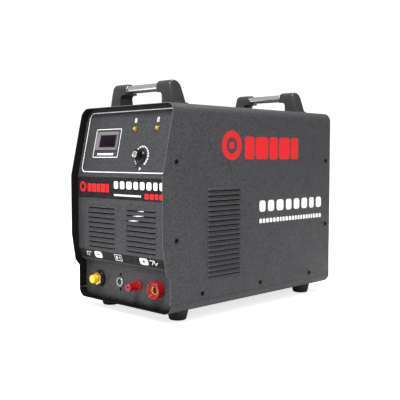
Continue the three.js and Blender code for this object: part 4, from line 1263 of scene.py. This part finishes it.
def tile(face, across, up, width, height, radius=0.0, out=0.0, roll=0.0):
    """One printed rectangle round a point of a face."""
    piece = plate("tile", width, height, INK, radius, 5)
    return lay(piece, face, across, up, out, roll)


def tiles(face, *rows):
    """Several printed rectangles, each given as tile takes it after the face."""
    return [tile(face, *row) for row in rows]


def frame_line(face, across, up, width, height, line, radius):
    """A printed outline round a point of a face."""
    piece = outline("line", width, height, line, INK, radius, 8)
    return lay(piece, face, across, up)


def disc(face, across, up, radius, inner=0.0, out=0.0):
    """A printed dot, or a ring where an inner radius is given."""
    profile = [(max(inner, 0.05), 0), (radius, 0), (radius, INK)]
    profile += [(inner, INK), (inner, 0)] if inner else [(0.05, INK)]
    return lay(turned("disc", profile, sides=36), face, across, up, out)


def word(face, start, up, end, height, letters, gap=0.22, radius=0.22, seed=1):
    """A row of rounded blocks in place of a word, from start to end along a face."""
    shares = random.Random(seed)
    widths = [shares.uniform(0.75, 1.25) for _ in range(letters)]
    pitch = (end - start) / (sum(widths) + gap * (letters - 1))
    pieces, across = [], start
    for width in widths:
        block = width * pitch
        pieces.append(tile(face, across + block / 2, up, block, height, radius * min(block, height)))
        across += block + gap * pitch
    return pieces


print("helpers: print_on, tile, tiles, frame_line, disc, word")

# %% [markdown]
# The control panel is framed by a thin white line that runs out under the cover's right side. A
# smaller frame holds the meter. The dial's dots grow with the current, and a triangle marks zero.

# %% Marks of the control panel
DIAL_RADIUS, DIAL_SWEEP = 20.5, 276
marks = [frame_line(SLOPE, 0, 74.4, 278, 134, 1.9, 14)]
marks.append(frame_line(SLOPE, -63.2, 71.8, 86, 63.2, 1.5, 2.5))
marks += word(SLOPE, -91, 47.6, -36, 4.6, 10, seed=3)
for number in range(18):
    angle = math.radians(DIAL_SWEEP * (number / 17 - 0.5))
    across, up = DIAL_RADIUS * math.sin(angle), DIAL_RADIUS * math.cos(angle)
    marks.append(disc(SLOPE, KNOB[0] + across, KNOB[1] + up, 1.3 + 0.055 * number))
triangle = turned("triangle", [(0.05, 0), (4.2, 0), (4.2, INK), (0.05, INK)], sides=3)
marks.append(lay(triangle, SLOPE, KNOB[0] + 1, 17.0, roll=-90))
for across, bars in [(22, 3), (91, 2)]:
    marks.append(frame_line(SLOPE, across, 119, 6.4, 9.6, 1.1, 1.2))
    for bar in range(bars):
        marks.append(tile(SLOPE, across, 116.4 + 5.2 * (bar + 0.5) / bars, 3.6, 0.9))
print_on("control_panel_marks", marks, "white_ink")
print("control panel marks:", len(marks), "shapes")

# %% [markdown]
# A dark strip under the controls carries the name in red and the title in white. Each is a row of
# blocks here, and a ring stands where the mark would be.

# %% Name strip
strip = tile(UPRIGHT, 0, 246.4, 295, 46, 0, out=-0.06)
print_on("name_strip", [strip], "strip_coat")
marks = word(UPRIGHT, -21, 253.6, 136, 16, 8, gap=0.42, radius=0.28, seed=11)
marks += word(UPRIGHT, -21, 232.4, 66, 4.0, 14, seed=5)
print_on("name_strip_marks", marks, "white_ink")
marks = [disc(UPRIGHT, -130, 247.5, 11.5, 6.2)]
marks += word(UPRIGHT, -113, 246, -38, 18, 5, gap=0.16, radius=0.2, seed=8)
marks += word(UPRIGHT, 77, 232.8, 136, 11.5, 4, gap=0.22, radius=0.25, seed=9)
print_on("name_strip_red_marks", marks, "red_ink")
print("name strip:", made[-3:])

# %% [markdown]
# The chin above the sockets says which is which: minus, the two-pin socket, and plus. The signs
# are kept, because they are no one's mark, and small strokes stand beside them.

# %% Label strip
strip = tile(CHIN, 0, 13.6, 294, 20.5, 0, out=-0.06)
print_on("label_strip", [strip], "strip_coat")
# A black strip along the foot of the socket panel is painted shade: it stands for the dark gap above the base
# pan's lip.
print_on("panel_foot_painted_shade", [tile(SOCKETS, 0, 5, 272, 6)], "black_plastic")
marks = tiles(
    CHIN, (-82, 14.2, 26, 15, 5), (69, 14.2, 26, 15, 5),
    (-119, 18.4, 8, 1.7, 0.8), (-109, 18.4, 7, 1.7, 0.8), (-115, 14.4, 5, 1.5, 0.7),
    (-122, 13.4, 1.7, 8, 0.8), (-116, 9.8, 4, 1.7, 0.8),
    (-18, 14, 4.4, 8, 0.8), (-8.5, 14, 6, 1.3, 0.5), (-8.5, 14, 1.3, 7, 0.5),
    (96, 18.6, 16, 1.5, 0.6), (96, 13.4, 1.6, 10, 0.6, 0, -40),
    (103, 12.6, 2, 10, 0.6, 0, 30), (109, 13.6, 5, 2.4, 0.6, 0, 30))
marks.append(frame_line(CHIN, -13.5, 14, 24, 14.5, 1.1, 1))
print_on("label_strip_marks", marks, "white_ink")
marks = tiles(
    CHIN, (-82, 14.2, 8.5, 2.2, 0.6, 0.1), (69, 14.2, 9, 2.4, 0.6, 0.1), (69, 14.2, 2.4, 8, 0.6, 0.1))
print_on("label_strip_black_marks", marks, "black_ink")
print("label strip:", made[-4:])

# %% [markdown]
# Both long sides carry the same marks. On the left side `across` counts the other way, so the
# starts differ and the rows read forwards on both.

# %% Marks of the long sides
for side, face, front in [("right", RIGHT_SIDE, 167), ("left", LEFT_SIDE, -433)]:
    marks = [disc(face, front + 33, 337, 31, 17.5), tile(face, front + 33, 337, 15, 15, 4)]
    marks += word(face, front + 75, 332, front + 266, 49, 5, gap=0.14, radius=0.2, seed=8)
    print_on(f"{side}_side_red_marks", marks, "red_ink")
for side, face, front in [("right", RIGHT_SIDE, 292), ("left", LEFT_SIDE, -528)]:
    marks = word(face, front, 203, front + 236, 25, 8, gap=0.42, radius=0.28, seed=11)
    marks += word(face, front, 170, front + 236, 10, 21, gap=0.4, radius=0.3, seed=5)
    print_on(f"{side}_side_white_marks", marks, "white_ink")
print("prints:", [name for name in made if "marks" in name])

# %% [markdown]
# ## Rear fittings
# The fan sits low in the rear panel and blows through the case. Its square frame has a round
# tunnel cut through, three spokes hold the motor, and seven blades are twisted plates: each is
# subdivided, and its upper part is turned a little further, which gives the pitch.

# %% Fan
FAN = (0, 130)
FAN_DEPTH = 38
fan_seat = at(FAN[0], REAR_FACE - SHEET - 0.3 - FAN_DEPTH, FAN[1])
housing = plate("fan_housing", 119, 119, FAN_DEPTH, 7, 5)
tunnel = turned("tunnel", [(57, -2), (55, 6), (55, 32), (57, 40)], sides=64)
cut_with(housing, tunnel)
motor = turned("motor_mount", [(18, 0.1), (18, 4.6), (17, 5), (0.6, 5)], sides=40)
spokes = []
for number in range(3):
    spoke = plate("spoke", 5, 46, 4, 1, 3)
    around = Matrix.Rotation(math.radians(120 * number + 20), 4, "Z")
    spoke.data.transform(around @ Matrix.Translation((0, 36 * MM, 0.3 * MM)))
    spokes.append(spoke)
housing = joined("fan_frame_skin", [housing, motor, *spokes])
soften(housing, 0.4, angle=34)
aim(housing, fan_seat, BACKWARD)
fit(housing, "black_plastic", stands_for=["fan_frame"])

hub = turned("hub", [(0.6, 6), (19.5, 6), (20, 6.6), (20, 31), (19, 33.2), (16.5, 34), (0.6, 34)], sides=56)
blades = []
for number in range(7):
    blade = plate("blade", 27, 35, 1.8, 4, 4)
    bpy.ops.object.mode_set(mode="EDIT")
    bpy.ops.mesh.select_all(action="SELECT")
    bpy.ops.mesh.subdivide(number_cuts=3)
    pick(blade, "verts", lambda vertex: vertex.co.y > 0)
    bpy.ops.transform.rotate(value=math.radians(9), orient_axis="Y", center_override=(0, 0, 0))
    bpy.ops.object.mode_set(mode="OBJECT")
    tilt = Matrix.Rotation(math.radians(38), 4, "Y")
    spot = Matrix.Rotation(2 * math.pi * number / 7, 4, "Z") @ Matrix.Translation((0, 35.5 * MM, 20 * MM))
    blade.data.transform(spot @ tilt)
    blades.append(blade)
rotor = joined("fan_rotor_skin", [hub, *blades])
soften(rotor, 0.3, angle=34)
aim(rotor, fan_seat, BACKWARD)
fit(rotor, "black_plastic", body="fan", stands_for=["fan_rotor"])
print("fan:", made[-2:])

# %% [markdown]
# The guard is welded from wire: four rings, two crossed bars and four eyes for the screws. Torus
# primitives make the rings, and thin lathe jobs the rest.

# %% Fan guard
CORNERS = (45, 135, 225, 315)
EYE_REACH = 66
wires = []
for radius in (14, 28, 42, 56):
    bpy.ops.mesh.primitive_torus_add(
        major_radius=radius * MM, minor_radius=1.1 * MM, major_segments=72, minor_segments=8,
        location=(0, 0, 1.4 * MM))
    wires.append(apply_all(named("guard_ring")))
for angle in (45, -45):
    bar = turned("guard_bar", [(0.6, -66), (1.3, -65.4), (1.3, 65.4), (0.6, 66)], sides=12)
    around = Matrix.Rotation(math.radians(angle), 4, "Z")
    bar.data.transform(Matrix.Translation((0, 0, 2.0 * MM)) @ around @ Matrix.Rotation(math.pi / 2, 4, "X"))
    wires.append(bar)
for angle in CORNERS:
    eye = turned("guard_eye", [(2.6, 0.2), (4.8, 0.2), (4.8, 1.6), (2.6, 1.6), (2.6, 0.2)], sides=24)
    outwards = Matrix.Translation((EYE_REACH * MM, 0, 0))
    eye.data.transform(Matrix.Rotation(math.radians(angle), 4, "Z") @ outwards)
    wires.append(eye)
guard = joined("fan_guard_skin", wires)
bpy.ops.object.shade_smooth_by_angle(angle=math.radians(40))
lay(guard, REAR, *FAN, 0.3)
fit(guard, "chrome", stands_for=["fan_guard"])
for number, angle in enumerate(CORNERS):
    across = FAN[0] + EYE_REACH * math.cos(math.radians(angle))
    up = FAN[1] + EYE_REACH * math.sin(math.radians(angle))
    twin = copied(small_screw, f"fan_screw_{number}", matrix=Matrix.Identity(4))
    lay(twin, REAR, across, up, 1.7, turns.uniform(0, 90))
    fit(twin, "black_steel")
print("guard:", made[-5:])

# %% [markdown]
# The main breaker is a moulded block behind the panel with a short face in front. Its toggle is
# a round axle with a flat lever, and the well in the face leaves it room to swing.

# %% Main breaker
BREAKER = (80, 330)
body = plate("breaker_face", 54, 46, 11, 1.5, 3)
body.data.transform(Matrix.Translation((0, 0, -6 * MM)))
well = plate("breaker_well", 38, 36, 20, 2, 4)
well.data.transform(Matrix.Translation((0, 0, -7.95 * MM)))
cut_with(body, well)
block = plate("breaker_block", 54, 76, 53, 1.5, 3)
block.data.transform(Matrix.Translation((0, 0, -61.5 * MM)))
body = joined("breaker_skin", [body, block])
soften(body, 0.5, angle=34)
lay(body, REAR, *BREAKER)
fit(body, "black_plastic", stands_for=["breaker_body"])
axle = turned("toggle_axle", [
    (0.6, -17.8), (5.6, -17.8), (6, -17.4), (6, 17.4), (5.6, 17.8), (0.6, 17.8)], sides=32)
axle.data.transform(Matrix.Rotation(math.pi / 2, 4, "Y"))
lever = plate("toggle_lever", 35.6, 4.8, 17, 1.2, 3)
toggle = joined("toggle_skin", [axle, lever])
soften(toggle, 0.5, angle=34, segments=3)
toggle.data.transform(Matrix.Rotation(math.radians(35), 4, "X"))
lay(toggle, REAR, *BREAKER, -1.0)
fit(toggle, "toggle_plastic", body="toggle", stands_for=["breaker_toggle"])
marks = [tile(REAR, BREAKER[0], 358, 10, 3, 0.5), disc(REAR, BREAKER[0], 301.5, 3.2, 2.2)]
print_on("breaker_marks", marks, "white_ink")
print("breaker:", made[-3:])

# %% [markdown]
# A gland with a domed nut holds the mains cable, a hose barb takes the compressed gas, and an
# earth stud has its washer and nut. All are lathe jobs: six-sided where a spanner goes on.

# %% Cable gland, gas inlet and earth stud
gland_hex = turned("gland_hex", [
    (6.5, 0.2), (14.2, 0.2), (15, 1.0), (15, 5.2), (14.2, 6.0), (6.5, 6.0), (6.5, 0.2)], sides=6)
gland_dome = turned("gland_dome", [
    (6.5, -11), (10, -11), (10, 4), (10.9, 5.4), (11, 11), (10.6, 13.4), (9.8, 16), (8.6, 18.4),
    (7.6, 19), (6.9, 18.8), (6.5, 18), (6.5, -11)], sides=56)
gland = joined("cable_gland_skin", [gland_hex, gland_dome])
soften(gland, 0.25, angle=34)
lay(gland, REAR, -80, 330)
fit(gland, "black_plastic", stands_for=["cable_gland"])
inlet_hex = turned("inlet_hex", [
    (2.4, 0.2), (8.4, 0.2), (9, 0.9), (9, 6.3), (8.4, 7.0), (2.4, 7.0), (2.4, 0.2)], sides=6)
barb = turned("inlet_barb", [
    (2.4, -13), (6, -13), (6, 2), (4.1, 6.5), (4.0, 11.4), (4.9, 11.8), (4.9, 12.2), (4.0, 16.6),
    (4.9, 17.0), (4.9, 17.4), (4.0, 21.8), (4.9, 22.2), (4.8, 22.8), (3.7, 28.3), (2.8, 28.4),
    (2.4, 28.0), (2.4, -13)], sides=40)
inlet = joined("gas_inlet_skin", [inlet_hex, barb])
soften(inlet, 0.2, angle=34)
lay(inlet, REAR, -105, 62)
fit(inlet, "brass", stands_for=["gas_inlet"])
stud = [(0.6, -8), (2.9, -8), (2.9, 6)]
for step in range(8):
    stud += [(2.95, 6.3 + 0.7 * step), (2.6, 6.65 + 0.7 * step)]
stud = turned("earth_thread", [*stud, (2.3, 12), (0.6, 12)], sides=28)
washer = turned("earth_washer", [(2.9, 0.3), (7, 0.3), (7, 1.6), (2.9, 1.6), (2.9, 0.3)], sides=40)
nut = turned("earth_nut", [
    (2.9, 1.5), (5.0, 1.5), (5.6, 2.0), (5.6, 5.8), (5.0, 6.4), (2.9, 6.4), (2.9, 1.5)], sides=6)
earth = joined("earth_stud_skin", [stud, washer, nut])
soften(earth, 0.12, angle=34)
lay(earth, REAR, 105, 62)
fit(earth, "steel", stands_for=["earth_stud"])
marks = tiles(REAR, (105, 80, 1.2, 5), (105, 77.6, 8, 1.1), (105, 75.4, 5.2, 1.1), (105, 73.2, 2.4, 1.1))
print_on("earth_marks", marks, "white_ink")
print("connections:", made[-4:])

# %% [markdown]
# The rating plate is a printed film with rows of blank bars in place of its data. Eight screws
# hold the rear panel, from copies of the same screw.

# %% Rating plate and rear panel screws
rating = plate("rating_plate", 96, 52, 0.5, 3, 5)
soften(rating, 0.15)
lay(rating, REAR, 0, 258, 0.05)
fit(rating, "label_film")
marks = word(REAR, -42, 276, 42, 5, 12, seed=21)
for row in range(5):
    marks += word(REAR, -42, 267 - 6.5 * row, -4, 2.4, 9, seed=30 + row)
    marks += word(REAR, 4, 267 - 6.5 * row, 42, 2.4, 8, seed=40 + row)
for piece in marks:
    piece.data.transform(Matrix.Translation((0, 0.5 * MM, 0)))
print_on("rating_marks", marks, "black_ink")
for number, (across, up) in enumerate([(x, z) for x in (-138, 138) for z in (36, 160, 284, 400)]):
    place_screw(f"rear_panel_screw_{number}", REAR, across, up)
for pattern in (screw, small_screw):
    bpy.data.objects.remove(pattern)
print("rating plate and screws:", made[-10:])

# %% [markdown]
# ## Inside
# The parts behind the louvres are hardly seen. They stay as the frame made them and only take a
# finish: plated steel, bare aluminium, solder mask and varnished copper.

# %% Finishes of the inner parts
INNER = {
    "inner_deck": "dark_steel", "solenoid_valve": "steel", "potentiometer": "steel", "knob_spindle": "steel",
    "heat_sink": "dull_aluminium", "power_board": "circuit_board", "control_board": "circuit_board",
    "transformer": "winding_copper", "output_choke": "winding_copper",
}
for part_name, finish in INNER.items():
    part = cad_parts[part_name]
    part.data.materials.clear()
    part.data.materials.append(finishes[finish])
print("inner parts:", len(INNER))

# %% [markdown]
# ## Floor, light and camera
# A plain pale floor in a bright, even studio. A really white floor would throw so much light back
# that the dark coat would look grey. So the floor and the world look bright to the camera, and
# give little light to everything else: Light Path tells the two apart.

# %% Floor and world
tree, principled = new_finish("studio_floor", IOR=1.3, Emission_Strength=0.75)
seen = node(tree, "ShaderNodeLightPath")
glow = blend_colour(tree, seen.outputs["Is Camera Ray"], (0.08, 0.08, 0.08), (1.0, 1.0, 1.0))
tree.links.new(glow, principled.inputs["Emission Color"])
grain = use(tree, grain_group, Fine_size=60.0, Cloud_size=2.0)
pale = blend_colour(tree, grain.outputs["Cloud"], (0.93, 0.93, 0.93), (0.96, 0.96, 0.96))
tree.links.new(pale, principled.inputs["Base Color"])
tree.links.new(blend_value(tree, grain.outputs["Height"], 0.55, 0.65), principled.inputs["Roughness"])
bpy.ops.mesh.primitive_plane_add(size=60)
floor = named("studio_floor")
floor.data.materials.append(finishes["studio_floor"])

world = bpy.data.worlds.new("studio")
world.use_nodes = True
backdrop = world.node_tree.nodes["Background"]
backdrop.inputs["Color"].default_value = (1, 1, 1, 1)
seen = world.node_tree.nodes.new("ShaderNodeLightPath")
brightness = blend_value(world.node_tree, seen.outputs["Is Camera Ray"], 0.43, 1.1)
world.node_tree.links.new(brightness, backdrop.inputs["Strength"])
bpy.context.scene.world = world
bpy.context.scene.view_settings.view_transform = "Standard"
print("stage:", floor.name, "and world", world.name)

# %% [markdown]
# The main softbox hangs high in front, so the slope is lit and the recess of the sockets stays
# darker. A small one to the right of the camera draws a line on the edges, and a large weak one
# above lifts the top and the handles.

# %% Lights
def softbox(name, place, target, size, power):
    """A square area light that looks at a point."""
    bpy.ops.object.light_add(type="AREA", location=place)
    lamp = bpy.context.object
    lamp.name = name
    lamp.data.size = size
    lamp.data.energy = power
    lamp.rotation_euler = (Vector(target) - Vector(place)).to_track_quat("-Z", "Y").to_euler()
    return lamp


softbox("key_softbox", (0.6, -2.1, 3.1), (0, -0.2, 0.25), 1.2, 146)
softbox("edge_softbox", (2.6, -2.3, 2.0), (0, 0, 0.35), 0.6, 10)
softbox("top_softbox", (0.2, 0.6, 2.8), (0, 0, 0.3), 1.6, 48)

# %% [markdown]
# The camera stands to the right of the front at about the height of the knob and looks slightly
# down. Its lens is a little longer than normal, so the verticals stay nearly upright.

# %% Camera
bpy.ops.object.camera_add(location=at(1149.8, -916.5, 311.9))
camera = bpy.context.object
camera.name = "camera"
turn, dip = 0.7756, 0.0606
gaze = Vector((-math.sin(turn) * math.cos(dip), math.cos(turn) * math.cos(dip), -math.sin(dip)))
camera.rotation_euler = gaze.to_track_quat("-Z", "Y").to_euler()
camera.data.lens = 63.42
camera.data.sensor_width = 36
bpy.context.scene.camera = camera
print("camera at", [round(value, 3) for value in camera.location])
